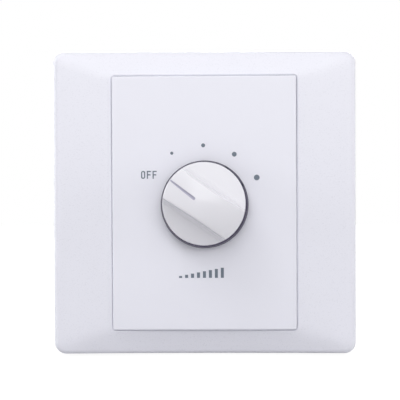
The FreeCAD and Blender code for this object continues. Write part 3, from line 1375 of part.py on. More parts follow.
def all_nodes():
    nodes = {
        "outer_frame": outer_frame(),
        "centre_panel": centre_panel(),
        "base_frame": base_frame(),
        "panel_screws": panel_screws(),
        "printed_dots": printed_dots(),
        "printed_off_mark": printed_off_mark(),
        "printed_level_mark": printed_level_mark(),
        "knob_cap": knob_cap(),
        "knob_ring": knob_ring(),
        "pointer_paint": pointer_paint(),
        "knob_clip": knob_clip(),
        "switch_bushing": switch_bushing(),
        "switch_washer": switch_washer(),
        "switch_nut": switch_nut(),
        "switch_shaft": switch_shaft(),
        "shaft_clip": shaft_clip(),
        "detent_wheel": detent_wheel(),
        "detent_housing": detent_housing(),
        "detent_balls": detent_balls(),
        "detent_spring": detent_spring(),
        "contact_rotor": contact_rotor(),
        "wiper_contact": wiper_contact(),
        "stator_wafer": stator_wafer(),
        "stator_contacts": stator_contacts(),
        "switch_spacers": switch_spacers(),
        "switch_tie_screws": switch_tie_screws(),
        "circuit_board": circuit_board(),
        "solder_joints": solder_joints(),
        "board_screws": board_screws(),
        "core_i_stack": core_i_stack(),
        "core_e_stack": core_e_stack(),
        "transformer_bobbin": transformer_bobbin(),
        "bobbin_pins": bobbin_pins(),
        "transformer_winding": transformer_winding(),
        "winding_tape": winding_tape(),
        "transformer_strap": transformer_strap(),
        "strap_screws": strap_screws(),
        "strap_nuts": strap_nuts(),
        "terminal_block": terminal_block(),
        "terminal_bars": terminal_bars(),
    }
    for index in range(TERMINAL_COUNT):
        nodes["terminal_clamp_%d" % (index + 1)] = terminal_clamp(index)
        nodes["terminal_screw_%d" % (index + 1)] = terminal_screw(index)
    return nodes


def export(nodes):
    os.makedirs("parts", exist_ok=True)
    for name, shape in nodes.items():
        solids = shape if isinstance(shape, list) else [shape]
        pieces = []
        for solid in solids:
            pieces.extend(solid.Solids)
        whole = pieces[0] if len(pieces) == 1 else Part.makeCompound(pieces)
        whole.exportStep(os.path.join("parts", name + ".step"))
        print(name, len(pieces), "solids,", round(sum(piece.Volume for piece in pieces), 2), "mm3",
              "valid" if whole.isValid() else "NOT VALID")


export(all_nodes())
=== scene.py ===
import math

import bpy
from mathutils import Matrix, Vector


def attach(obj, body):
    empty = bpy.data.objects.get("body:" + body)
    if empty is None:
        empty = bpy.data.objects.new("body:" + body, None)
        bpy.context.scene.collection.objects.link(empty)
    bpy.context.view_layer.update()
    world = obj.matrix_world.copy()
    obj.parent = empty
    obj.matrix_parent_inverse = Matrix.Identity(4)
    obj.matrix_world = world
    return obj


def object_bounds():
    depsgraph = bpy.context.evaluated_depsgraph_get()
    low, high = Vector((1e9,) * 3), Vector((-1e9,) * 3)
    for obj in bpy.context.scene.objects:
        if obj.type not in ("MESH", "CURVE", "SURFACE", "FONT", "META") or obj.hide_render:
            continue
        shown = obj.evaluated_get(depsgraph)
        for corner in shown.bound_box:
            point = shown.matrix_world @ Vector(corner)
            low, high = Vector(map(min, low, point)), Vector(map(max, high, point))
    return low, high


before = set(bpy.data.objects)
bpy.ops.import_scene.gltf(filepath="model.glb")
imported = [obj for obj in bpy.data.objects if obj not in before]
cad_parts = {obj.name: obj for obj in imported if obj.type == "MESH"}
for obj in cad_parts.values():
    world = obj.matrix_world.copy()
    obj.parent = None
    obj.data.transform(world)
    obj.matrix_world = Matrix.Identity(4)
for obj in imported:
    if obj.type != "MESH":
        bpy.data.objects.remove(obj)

bl_info = {
    "name": "Wall Volume Control Looks",
    "version": (1, 0, 0),
    "blender": (4, 5, 0),
    "location": "3D View > Sidebar > Volume Control",
    "description": "Finishes, wiring details and studio for a wall-mounted volume control",
    "category": "Object",
}

# All lengths are in metres. The control hangs as its CAD model does: +X to the right, +Z up,
# the wall in the plane Y = 0, the front towards -Y and the works towards +Y.
MM = 0.001
CAD_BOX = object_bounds()

PICTURE_SIDE = 400

# Places and sizes of the works in millimetres, as in the CAD model
BOARD_FRONT = 12.0
BOARD_BACK = 13.6
TRANSFORMER_Z = 22.0
BOBBIN_FLANGE_REACH = 13.4
LEAD_PLACES = (-7.6, 0.0, 7.6)
BOBBIN_PINS = [(x, z) for z in (33.2, 10.8) for x in LEAD_PLACES]
STEP_PIN_RADIUS = 5.9
STEP_PIN_ANGLES = [math.radians(146.3 - 30 * step) for step in range(5)]
STEP_PINS = [(STEP_PIN_RADIUS * math.cos(angle), STEP_PIN_RADIUS * math.sin(angle))
             for angle in STEP_PIN_ANGLES]
COMMON_PIN = (0.0, -4.05)
TERMINAL_PINS = [(7.62 * (index - 1.5), -19.1) for index in range(4)]
TRACK_RISE = 0.07
PAD_RADIUS = 0.95
PAD_WIDTH = 0.8
PAD_RISE = 0.05

# The floor's side, and how far it lies below the plate
FLOOR_SIDE = 1.6
FLOOR_GAP = 0.0002
# The point the camera looks at, and how far the camera then moves to its right and up
CAMERA_AIM = (0, -0.004, 0)
CAMERA_RIGHT = -0.00129
CAMERA_UP = 0.00078
SENSOR_WIDTH = 36

# Name, degrees round the knob's axis from the right, degrees away from the axis, distance, side
# and watts of each square lamp
LAMPS = [("key lamp", 118, 66, 0.6, 0.26, 0.85),
         ("top lamp", 90, 60, 1.2, 1.2, 4.8),
         ("front lamp", 90, 20, 1.25, 0.8, 5.0),
         ("front right lamp", 32, 34, 1.2, 0.5, 1.8),
         ("right side lamp", 0, 80, 1.2, 1.0, 8.0),
         ("left side lamp", 180, 80, 1.2, 1.0, 8.0),
         ("rear lamp", 60, 140, 0.75, 0.5, 3.5),
         ("rear left lamp", 170, 125, 0.75, 0.5, 2.0),
         ("broad rear lamp", 90, 158, 1.2, 1.0, 5.0)]


def linear(hex_colour):
    """An sRGB hex colour as linear red, green and blue."""
    channels = [int(hex_colour[start:start + 2], 16) / 255 for start in (0, 2, 4)]
    return tuple(c / 12.92 if c <= 0.04045 else ((c + 0.055) / 1.055) ** 2.4 for c in channels)


def opaque(colour):
    """A colour of three channels with full alpha."""
    return (*colour[:3], 1.0)


def tinted(colour, share):
    """A colour made darker or lighter by a share."""
    return opaque([min(1.0, channel * (1 + share)) for channel in colour[:3]])


def per_mm(size):
    """The texture scale at which a pattern's features are about this many millimetres."""
    return 1000.0 / size


def bands_per_mm(pitch):
    """The wave texture's scale at which its bands lie this many millimetres apart."""
    return math.pi / 10 * 1000.0 / pitch


# Settings

class FrontSettings(bpy.types.PropertyGroup):
    frame_colour: bpy.props.FloatVectorProperty(
        name="Frame", description="Colour of the outer frame's plastic",
        subtype="COLOR", size=3, min=0, max=1, default=linear("E5E5EE"))
    # The panel is the frame's white plastic; its colour is a shade lighter as painted light that thins the
    # knob's shadow on it
    panel_colour_with_painted_light: bpy.props.FloatVectorProperty(
        name="Panel", description="Colour of the centre panel's plastic, lighter than the frame's as painted light against the knob's shadow",
        subtype="COLOR", size=3, min=0, max=1, default=linear("E7E7F0"))
    knob_colour: bpy.props.FloatVectorProperty(
        name="Knob", description="Colour of the knob cap's plastic",
        subtype="COLOR", size=3, min=0, max=1, default=linear("E3E2E8"))
    ring_colour: bpy.props.FloatVectorProperty(
        name="Ring", description="Reflection colour of the smoked chrome ring",
        subtype="COLOR", size=3, min=0, max=1, default=linear("4A4657"))
    ink_colour: bpy.props.FloatVectorProperty(
        name="Ink", description="Colour of the printed scale",
        subtype="COLOR", size=3, min=0, max=1, default=linear("656F7C"))
    # The grey laid in the pointer's groove stands for the shade of the groove's walls: painted shade
    groove_shade_colour: bpy.props.FloatVectorProperty(
        name="Pointer groove shade", description="Grey in the pointer's groove, a painted shade of its walls",
        subtype="COLOR", size=3, min=0, max=1, default=linear("B4B2C4"))


class WorksSettings(bpy.types.PropertyGroup):
    board_colour: bpy.props.FloatVectorProperty(
        name="Board", description="Colour of the circuit board's solder mask",
        subtype="COLOR", size=3, min=0, max=1, default=linear("1F5A38"))
    terminal_colour: bpy.props.FloatVectorProperty(
        name="Terminals", description="Colour of the terminal block",
        subtype="COLOR", size=3, min=0, max=1, default=linear("2C7A4E"))
    tape_colour: bpy.props.FloatVectorProperty(
        name="Tape", description="Colour of the winding's tape",
        subtype="COLOR", size=3, min=0, max=1, default=linear("D8AE2C"))
    lead_diameter: bpy.props.FloatProperty(
        name="Lead diameter", description="Diameter of the winding's lead-out wires",
        subtype="DISTANCE", unit="LENGTH", min=0.0001, max=0.001, default=0.3 * MM)
    track_width: bpy.props.FloatProperty(
        name="Track width", description="Width of the circuit board's tracks",
        subtype="DISTANCE", unit="LENGTH", min=0.0003, max=0.003, default=1.0 * MM)


class StageSettings(bpy.types.PropertyGroup):
    camera_distance: bpy.props.FloatProperty(
        name="Camera distance", description="Distance of the camera from the middle of the plate",
        subtype="DISTANCE", unit="LENGTH", min=0.1, max=3.0, default=0.320)
    camera_pitch: bpy.props.FloatProperty(
        name="Camera pitch", description="How far the camera stands above the knob's axis",
        subtype="ANGLE", unit="ROTATION", default=math.radians(1.3))
    camera_yaw: bpy.props.FloatProperty(
        name="Camera yaw", description="How far the camera stands to the right of the knob's axis",
        subtype="ANGLE", unit="ROTATION", default=math.radians(1.1))
    camera_roll: bpy.props.FloatProperty(
        name="Camera roll", description="How far the camera leans to its right",
        subtype="ANGLE", unit="ROTATION", default=math.radians(0.27))
    focal_pixels: bpy.props.FloatProperty(
        name="Focal length", description="Focal length in pixels of a picture 400 pixels wide",
        min=200, max=4000, default=1117)
    world_strength: bpy.props.FloatProperty(
        name="Room light", description="Strength of the even light from all round",
        min=0, max=2, default=0.02)
    lamp_level: bpy.props.FloatProperty(
        name="Lamps", description="Share of their usual power that the lamps give",
        min=0, max=4, default=1.0)


# Node and material helpers

def add_node(tree, kind, values=None, links=None, **settings):
    """Adds a node with its settings, input values and links from other nodes' outputs."""
    node = tree.nodes.new(kind)
    for name, value in settings.items():
        setattr(node, name, value)
    for name, value in (values or {}).items():
        node.inputs[name].default_value = value
    for name, source in (links or {}).items():
        tree.links.new(source, node.inputs[name])
    return node


def new_material(name, **values):
    """A material, its node tree and its main shader with the given input values."""
    material = bpy.data.materials.new(name)
    material.use_nodes = True
    tree = material.node_tree
    shader = tree.nodes["Principled BSDF"]
    for input_name, value in values.items():
        shader.inputs[input_name.replace("_", " ")].default_value = value
    return material, tree, shader


def join_shader(tree, shader, shade, gloss, bump):
    """Leads a colour mix, a roughness range and a bump into a material's main shader."""
    tree.links.new(shade.outputs[2], shader.inputs["Base Color"])
    tree.links.new(gloss.outputs["Result"], shader.inputs["Roughness"])
    tree.links.new(bump.outputs["Normal"], shader.inputs["Normal"])


def finish_nodes(material, *names):
    """Gives CAD nodes a material in place of the plain one in their slots."""
    for name in names:
        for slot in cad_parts[name].material_slots:
            slot.material = material


def numbered(name):
    """The names of the four nodes, one for each terminal."""
    return ["%s_%d" % (name, number) for number in range(1, 5)]


def moulded_plastic(name, colour, roughness, ior, wave_mm, wave_depth_mm, grain_mm, grain_depth_mm,
                    tone=0.02):
    """Plastic from a mould: faint waves in its gloss, the mould's grain and slightly uneven tone."""
    material, tree, shader = new_material(name, IOR=ior)
    place = add_node(tree, "ShaderNodeTexCoord").outputs["Object"]
    waves = add_node(tree, "ShaderNodeTexNoise", {"Scale": per_mm(wave_mm), "Detail": 1.0},
                     {"Vector": place})
    grain = add_node(tree, "ShaderNodeTexNoise", {"Scale": per_mm(grain_mm), "Detail": 3.0},
                     {"Vector": place})
    wave_bump = add_node(tree, "ShaderNodeBump", {"Distance": wave_depth_mm * MM, "Strength": 1.0},
                         {"Height": waves.outputs["Fac"]})
    grain_bump = add_node(tree, "ShaderNodeBump", {"Distance": grain_depth_mm * MM, "Strength": 1.0},
                          {"Height": grain.outputs["Fac"], "Normal": wave_bump.outputs["Normal"]})
    flow = add_node(tree, "ShaderNodeTexNoise", {"Scale": per_mm(18), "Detail": 2.0, "Distortion": 0.6},
                    {"Vector": place})
    shade = add_node(tree, "ShaderNodeMix", {6: tinted(colour, -tone), 7: tinted(colour, tone)},
                     {0: flow.outputs["Fac"]}, data_type="RGBA")
    gloss = add_node(tree, "ShaderNodeMapRange",
                     {"From Min": 0.3, "From Max": 0.7,
                      "To Min": roughness * 0.85, "To Max": roughness * 1.15},
                     {"Value": grain.outputs["Fac"]})
    join_shader(tree, shader, shade, gloss, grain_bump)
    return material


def plated_metal(name, colour, roughness, mottle_mm, grain_mm, grain_depth_mm, tone=0.06):
    """Metal under a thin plating: a mottled gloss, faint pitting and slightly uneven tone."""
    material, tree, shader = new_material(name, Metallic=1.0)
    place = add_node(tree, "ShaderNodeTexCoord").outputs["Object"]
    mottle = add_node(tree, "ShaderNodeTexNoise", {"Scale": per_mm(mottle_mm), "Detail": 3.0},
                      {"Vector": place})
    grain = add_node(tree, "ShaderNodeTexNoise", {"Scale": per_mm(grain_mm), "Detail": 2.0},
                     {"Vector": place})
    bump = add_node(tree, "ShaderNodeBump", {"Distance": grain_depth_mm * MM, "Strength": 1.0},
                    {"Height": grain.outputs["Fac"]})
    shade = add_node(tree, "ShaderNodeMix", {6: tinted(colour, -tone), 7: tinted(colour, tone)},
                     {0: mottle.outputs["Fac"]}, data_type="RGBA")
    gloss = add_node(tree, "ShaderNodeMapRange",
                     {"From Min": 0.3, "From Max": 0.7,
                      "To Min": roughness * 0.7, "To Max": roughness * 1.3},
                     {"Value": mottle.outputs["Fac"]})
    join_shader(tree, shader, shade, gloss, bump)
    return material


def drawn_metal(name, colour, roughness, line_mm, line_depth_mm, stretch, tone=0.05):
    """Rolled, drawn or turned metal: fine lines along the directions in which stretch is small."""
    material, tree, shader = new_material(name, Metallic=1.0)
    place = add_node(tree, "ShaderNodeTexCoord").outputs["Object"]
    stretched = add_node(tree, "ShaderNodeMapping", {"Scale": stretch}, {"Vector": place})
    lines = add_node(tree, "ShaderNodeTexNoise", {"Scale": per_mm(line_mm), "Detail": 2.0},
                     {"Vector": stretched.outputs["Vector"]})
    bump = add_node(tree, "ShaderNodeBump", {"Distance": line_depth_mm * MM, "Strength": 1.0},
                    {"Height": lines.outputs["Fac"]})
    shade = add_node(tree, "ShaderNodeMix", {6: tinted(colour, -tone), 7: tinted(colour, tone)},
                     {0: lines.outputs["Fac"]}, data_type="RGBA")
    gloss = add_node(tree, "ShaderNodeMapRange",
                     {"From Min": 0.3, "From Max": 0.7,
                      "To Min": roughness * 0.75, "To Max": roughness * 1.25},
                     {"Value": lines.outputs["Fac"]})
    join_shader(tree, shader, shade, gloss, bump)
    return material


# Front finishes

def moulded_abs_frame(colour):
    # ABS from a polished mould: gloss with the faint waves of its skin
    return moulded_plastic("moulded ABS, glossy frame", colour, roughness=0.30, ior=1.54, wave_mm=4.0,
                           wave_depth_mm=0.004, grain_mm=0.35, grain_depth_mm=0.0006, tone=0.008)


def moulded_abs_panel(colour):
    # ABS from a lightly blasted mould: a soft satin that hides fingerprints
    return moulded_plastic("moulded ABS, satin panel", colour, roughness=0.38, ior=1.54, wave_mm=5.0,
                           wave_depth_mm=0.003, grain_mm=0.30, grain_depth_mm=0.0012, tone=0.008)


def moulded_abs_knob(colour):
    # ABS from a polished mould: clear highlights along the grip's edges
    return moulded_plastic("moulded ABS, glossy knob", colour, roughness=0.22, ior=1.54, wave_mm=3.0,
                           wave_depth_mm=0.0015, grain_mm=0.35, grain_depth_mm=0.0003, tone=0.008)


def moulded_abs_base(colour):
    # ABS from a spark-eroded mould: an even fine grain with no gloss
    return moulded_plastic("moulded ABS, grained base", colour, roughness=0.55, ior=1.54, wave_mm=6.0,
                           wave_depth_mm=0.006, grain_mm=0.45, grain_depth_mm=0.012, tone=0.03)


def smoked_chrome(colour):
    # Dark chromium on polished ABS: near-mirror with a violet-grey cast and hairline wear
    material, tree, shader = new_material("smoked chrome on ABS", Metallic=1.0)
    place = add_node(tree, "ShaderNodeTexCoord").outputs["Object"]
    turned = add_node(tree, "ShaderNodeMapping", {"Scale": (1.0, 30.0, 1.0)}, {"Vector": place})
    hairs = add_node(tree, "ShaderNodeTexNoise", {"Scale": per_mm(6.0), "Detail": 3.0},
                     {"Vector": turned.outputs["Vector"]})
    cloud = add_node(tree, "ShaderNodeTexNoise", {"Scale": per_mm(5.0), "Detail": 2.0}, {"Vector": place})
    shade = add_node(tree, "ShaderNodeMix", {6: tinted(colour, -0.08), 7: tinted(colour, 0.08)},
                     {0: cloud.outputs["Fac"]}, data_type="RGBA")
    gloss = add_node(tree, "ShaderNodeMapRange",
                     {"From Min": 0.35, "From Max": 0.75, "To Min": 0.08, "To Max": 0.2},
                     {"Value": hairs.outputs["Fac"]})
    bump = add_node(tree, "ShaderNodeBump", {"Distance": 0.0004 * MM, "Strength": 1.0},
                    {"Height": hairs.outputs["Fac"]})
    join_shader(tree, shader, shade, gloss, bump)
    return material


def pad_printed_ink(colour):
    # Two-part pad printing ink: satin, a little thin and mottled where the pad let go
    return moulded_plastic("pad printed ink, slate grey", colour, roughness=0.45, ior=1.5, wave_mm=0.6,
                           wave_depth_mm=0.003, grain_mm=0.12, grain_depth_mm=0.002, tone=0.07)


def painted_groove_shade(colour):
    # Grey fill in the pointer's groove: its grey is painted shade of the groove's walls; matt, with a
    # slightly uneven tone
    return moulded_plastic("painted groove shade", colour, roughness=0.6, ior=1.5, wave_mm=0.8,
                           wave_depth_mm=0.01, grain_mm=0.15, grain_depth_mm=0.004, tone=0.05)


# Finishes of the works

def board_under_mask(colour):
    # Glass-epoxy board under green solder mask: the weave shows faintly through the gloss, and the
    # sawn edges and hole walls show bare straw-coloured laminate
    material, tree, shader = new_material("FR4 board, green solder mask", IOR=1.52)
    place = add_node(tree, "ShaderNodeTexCoord").outputs["Object"]
    depth = add_node(tree, "ShaderNodeSeparateXYZ", links={"Vector": place})
    warp = add_node(tree, "ShaderNodeTexWave",
                    {"Scale": bands_per_mm(0.9), "Distortion": 0.4, "Detail": 1.0},
                    {"Vector": place}, bands_direction="X")
    weft = add_node(tree, "ShaderNodeTexWave",
                    {"Scale": bands_per_mm(0.9), "Distortion": 0.4, "Detail": 1.0},
                    {"Vector": place}, bands_direction="Z")
    weave = add_node(tree, "ShaderNodeMath", links={0: warp.outputs["Fac"], 1: weft.outputs["Fac"]},
                     operation="MULTIPLY")
    cloud = add_node(tree, "ShaderNodeTexNoise", {"Scale": per_mm(9), "Detail": 3.0}, {"Vector": place})
    fibres = add_node(tree, "ShaderNodeTexNoise", {"Scale": per_mm(0.25), "Detail": 2.0},
                      {"Vector": place})
    mask = add_node(tree, "ShaderNodeMix", {6: tinted(colour, -0.16), 7: tinted(colour, 0.2)},
                    {0: weave.outputs[0]}, data_type="RGBA")
    toned = add_node(tree, "ShaderNodeMix", {7: tinted(colour, -0.3), 0: 0.5}, {6: mask.outputs[2]},
                     data_type="RGBA", blend_type="MULTIPLY")
    laminate = add_node(tree, "ShaderNodeMix", {6: opaque(linear("B59C62")), 7: opaque(linear("D6C48E"))},
                        {0: fibres.outputs["Fac"]}, data_type="RGBA")
    middle = (BOARD_FRONT + BOARD_BACK) / 2 * MM
    half = (BOARD_BACK - BOARD_FRONT) / 2 * MM
    offset = add_node(tree, "ShaderNodeMath", {1: middle}, {0: depth.outputs["Y"]}, operation="SUBTRACT")
    from_middle = add_node(tree, "ShaderNodeMath", links={0: offset.outputs[0]}, operation="ABSOLUTE")
    on_face = add_node(tree, "ShaderNodeMapRange",
                       {"From Min": half - 0.05 * MM, "From Max": half - 0.03 * MM},
                       {"Value": from_middle.outputs[0]})
    both = add_node(tree, "ShaderNodeMix", links={0: on_face.outputs["Result"], 6: laminate.outputs[2],
                                                  7: toned.outputs[2]}, data_type="RGBA")
    gloss = add_node(tree, "ShaderNodeMapRange", {"To Min": 0.22, "To Max": 0.42},
                     {"Value": cloud.outputs["Fac"]})
    bump = add_node(tree, "ShaderNodeBump", {"Distance": 0.02 * MM, "Strength": 0.6},
                    {"Height": weave.outputs[0]})
    join_shader(tree, shader, both, gloss, bump)
    return material


def mask_over_copper(colour):
    # Solder mask over etched copper: the same green, lighter and warmer where copper lies under it
    return moulded_plastic("solder mask over copper", [colour[0] * 2.1, colour[1] * 1.5, colour[2] * 1.3],
                           roughness=0.3, ior=1.52, wave_mm=1.2, wave_depth_mm=0.006, grain_mm=0.2,
                           grain_depth_mm=0.002, tone=0.08)


def varnished_laminations():
    # Silicon steel sheets 0.5 mm thick, stacked and dipped in dark varnish: a comb of sheet edges,
    # each a little different in tone, and plain rolled sheet on the two outermost faces
    colour = linear("5A5654")
    material, tree, shader = new_material("varnished silicon steel laminations", Metallic=0.7)
    shader.inputs["Coat Weight"].default_value = 0.35
    shader.inputs["Coat Roughness"].default_value = 0.2
    place = add_node(tree, "ShaderNodeTexCoord").outputs["Object"]
    height = add_node(tree, "ShaderNodeSeparateXYZ", links={"Vector": place})
    sheets = add_node(tree, "ShaderNodeMath", {1: per_mm(0.5)}, {0: height.outputs["Z"]},
                      operation="MULTIPLY")
    number = add_node(tree, "ShaderNodeMath", links={0: sheets.outputs[0]}, operation="FLOOR")
    within = add_node(tree, "ShaderNodeMath", links={0: sheets.outputs[0]}, operation="FRACT")
    each = add_node(tree, "ShaderNodeTexWhiteNoise", links={"W": number.outputs[0]}, noise_dimensions="1D")
    edge = add_node(tree, "ShaderNodeMath", {1: 0.5}, {0: within.outputs[0]}, operation="PINGPONG")
    seam = add_node(tree, "ShaderNodeMapRange", {"From Min": 0.02, "From Max": 0.16},
                    {"Value": edge.outputs[0]})
    burrs = add_node(tree, "ShaderNodeTexNoise", {"Scale": per_mm(0.7), "Detail": 3.0}, {"Vector": place})
    shade = add_node(tree, "ShaderNodeMix", {6: tinted(colour, -0.3), 7: tinted(colour, 0.35)},
                     {0: each.outputs["Value"]}, data_type="RGBA")
    lined = add_node(tree, "ShaderNodeMix", {6: tinted(colour, -0.75)},
                     {0: seam.outputs["Result"], 7: shade.outputs[2]}, data_type="RGBA")
    level = add_node(tree, "ShaderNodeMath", {1: 0.35}, {0: each.outputs["Value"]}, operation="MULTIPLY")
    relief = add_node(tree, "ShaderNodeMath", links={0: seam.outputs["Result"], 1: level.outputs[0]},
                      operation="ADD")
    bump = add_node(tree, "ShaderNodeBump", {"Distance": 0.06 * MM, "Strength": 1.0},
                    {"Height": relief.outputs[0]})
    gloss = add_node(tree, "ShaderNodeMapRange", {"To Min": 0.3, "To Max": 0.6},
                     {"Value": burrs.outputs["Fac"]})
    join_shader(tree, shader, lined, gloss, bump)
    return material


def enamelled_wire(name, pitch_mm):
    # Copper wire under amber enamel: a warm reddish metal with a clear wet gloss, wound turn on turn
    colour = linear("B8602E")
    material, tree, shader = new_material(name, Metallic=1.0)
    shader.inputs["Coat Weight"].default_value = 0.8
    shader.inputs["Coat Roughness"].default_value = 0.12
    place = add_node(tree, "ShaderNodeTexCoord").outputs["Object"]
    turns = add_node(tree, "ShaderNodeTexWave", {"Scale": bands_per_mm(pitch_mm), "Distortion": 0.3},
                     {"Vector": place}, bands_direction="Y")
    cloud = add_node(tree, "ShaderNodeTexNoise", {"Scale": per_mm(1.5), "Detail": 2.0}, {"Vector": place})
    shade = add_node(tree, "ShaderNodeMix", {6: tinted(colour, -0.25), 7: tinted(colour, 0.2)},
                     {0: cloud.outputs["Fac"]}, data_type="RGBA")
    gloss = add_node(tree, "ShaderNodeMapRange", {"To Min": 0.22, "To Max": 0.38},
                     {"Value": cloud.outputs["Fac"]})
    bump = add_node(tree, "ShaderNodeBump", {"Distance": 0.05 * MM, "Strength": 1.0},
                    {"Height": turns.outputs["Fac"]})
    join_shader(tree, shader, shade, gloss, bump)
    return material


def polyester_film_tape(name, colour):
    # Yellow polyester film: glossy, darker where it lies in several turns, with faint creases
    material, tree, shader = new_material(name, IOR=1.64)
    shader.inputs["Coat Weight"].default_value = 0.5
    shader.inputs["Coat Roughness"].default_value = 0.08
    place = add_node(tree, "ShaderNodeTexCoord").outputs["Object"]
    stretched = add_node(tree, "ShaderNodeMapping", {"Scale": (0.25, 1.0, 1.0)}, {"Vector": place})
    creases = add_node(tree, "ShaderNodeTexNoise",
                       {"Scale": per_mm(3.0), "Detail": 4.0, "Distortion": 0.8},
                       {"Vector": stretched.outputs["Vector"]})
    bubbles = add_node(tree, "ShaderNodeTexVoronoi", {"Scale": per_mm(2.4)}, {"Vector": place})
    shade = add_node(tree, "ShaderNodeMix", {6: tinted(colour, -0.22), 7: tinted(colour, 0.1)},
                     {0: creases.outputs["Fac"]}, data_type="RGBA")
    bump = add_node(tree, "ShaderNodeBump", {"Distance": 0.12 * MM, "Strength": 0.7},
                    {"Height": creases.outputs["Fac"]})
    pimples = add_node(tree, "ShaderNodeBump", {"Distance": 0.01 * MM, "Strength": 0.5},
                       {"Height": bubbles.outputs["Distance"], "Normal": bump.outputs["Normal"]})
    gloss = add_node(tree, "ShaderNodeMapRange", {"To Min": 0.12, "To Max": 0.3},
                     {"Value": creases.outputs["Fac"]})
    join_shader(tree, shader, shade, gloss, pimples)
    return material


def paper_phenolic():
    # Punched paper-phenolic sheet: dull brown with darker fibres and a waxy sheen
    colour = linear("8A5A34")
    material, tree, shader = new_material("paper phenolic sheet", IOR=1.6)
    place = add_node(tree, "ShaderNodeTexCoord").outputs["Object"]
    stretched = add_node(tree, "ShaderNodeMapping", {"Scale": (0.3, 1.0, 1.0)}, {"Vector": place})
    fibres = add_node(tree, "ShaderNodeTexNoise", {"Scale": per_mm(0.5), "Detail": 5.0, "Roughness": 0.7},
                      {"Vector": stretched.outputs["Vector"]})
    shade = add_node(tree, "ShaderNodeMix", {6: tinted(colour, -0.35), 7: tinted(colour, 0.3)},
                     {0: fibres.outputs["Fac"]}, data_type="RGBA")
    gloss = add_node(tree, "ShaderNodeMapRange", {"To Min": 0.35, "To Max": 0.6},
                     {"Value": fibres.outputs["Fac"]})
    bump = add_node(tree, "ShaderNodeBump", {"Distance": 0.012 * MM, "Strength": 1.0},
                    {"Height": fibres.outputs["Fac"]})
    join_shader(tree, shader, shade, gloss, bump)
    return material


def acetal(name, colour):
    # Moulded acetal: waxy, a little light passes into it, with flow marks
    material = moulded_plastic(name, colour, roughness=0.38, ior=1.48, wave_mm=2.5, wave_depth_mm=0.01,
                               grain_mm=0.3, grain_depth_mm=0.003, tone=0.03)
    shader = material.node_tree.nodes["Principled BSDF"]
    shader.inputs["Subsurface Weight"].default_value = 0.15
    shader.inputs["Subsurface Radius"].default_value = (0.001, 0.001, 0.001)
    return material


def zinc_plated_steel():
    # Steel screws in blue passivated zinc: bright, faintly mottled, with turning marks round their axis
    return drawn_metal("zinc plated steel, blue passivated", linear("C6CBD2"), roughness=0.3, line_mm=0.12,
                       line_depth_mm=0.006, stretch=(0.15, 1.0, 0.15))


def spring_steel():
    # Cold rolled spring steel: smooth blue-grey with fine rolling lines
    return drawn_metal("cold rolled spring steel", linear("9BA1A8"), roughness=0.26, line_mm=0.2,
                       line_depth_mm=0.002, stretch=(0.1, 1.0, 0.6))


def polished_ball_steel():
    # Bearing steel, lapped: a mirror with the faintest haze
    return plated_metal("lapped bearing steel", linear("D2D4D6"), roughness=0.08, mottle_mm=0.8,
                        grain_mm=0.1, grain_depth_mm=0.0002, tone=0.02)


def die_cast_zinc():
    # Die-cast zinc alloy: soft grey, slightly frosted, with cold flow marks from the die
    return plated_metal("die cast zinc alloy", linear("A9ACB0"), roughness=0.42, mottle_mm=3.5,
                        grain_mm=0.3, grain_depth_mm=0.006, tone=0.1)


def nickel_plated_brass():
    # Nickel over turned brass: warm silver with machining rings
    return drawn_metal("nickel plated brass", linear("CFC9BC"), roughness=0.22, line_mm=0.15,
                       line_depth_mm=0.003, stretch=(0.12, 1.0, 0.12), tone=0.04)


def silver_plated_brass():
    # Stamped brass under silver: pale, soft, faintly yellow where rubbed
    return plated_metal("silver plated brass", linear("DCD6C6"), roughness=0.3, mottle_mm=1.2,
                        grain_mm=0.2, grain_depth_mm=0.002, tone=0.1)


def turned_aluminium():
    # Turned aluminium: bright with the tool's rings along the bar
    return drawn_metal("turned aluminium", linear("C9CBCD"), roughness=0.34, line_mm=0.18,
                       line_depth_mm=0.005, stretch=(0.1, 1.0, 0.1))


def bright_solder():
    # Tin solder frozen from the wave: bright with a slightly wrinkled, cloudy skin
    return plated_metal("wave soldered tin", linear("CFD1D3"), roughness=0.24, mottle_mm=0.5,
                        grain_mm=0.18, grain_depth_mm=0.012, tone=0.1)


def zinc_plated_sheet():
    # Zinc plated strip, bent cold: rolling lines along the strip and a cloudy blue-white gloss
    return drawn_metal("zinc plated steel strip", linear("BCC1C6"), roughness=0.34, line_mm=0.22,
                       line_depth_mm=0.004, stretch=(0.15, 0.15, 1.0), tone=0.08)


def tin_plated_brass():
    # Brass under matt tin: pale and satin with a warm cast on its sheared edges
    return plated_metal("tin plated brass", linear("CBC6B6"), roughness=0.36, mottle_mm=1.0, grain_mm=0.2,
                        grain_depth_mm=0.003, tone=0.08)


def glass_filled_nylon():
    # Black nylon with glass fibre: dull, with a fine grey bloom where fibres reach the skin
    return moulded_plastic("glass filled nylon, black", linear("242527"), roughness=0.5, ior=1.53,
                           wave_mm=2.0, wave_depth_mm=0.012, grain_mm=0.22, grain_depth_mm=0.01, tone=0.25)


def green_polyamide(colour):
    # Polyamide 66 from a sparked mould: a soft green satin with an even fine grain
    return moulded_plastic("polyamide 66, green", colour, roughness=0.45, ior=1.53, wave_mm=3.0,
                           wave_depth_mm=0.01, grain_mm=0.3, grain_depth_mm=0.012, tone=0.07)


# Modelling helpers

def deselect():
    bpy.ops.object.select_all(action="DESELECT")


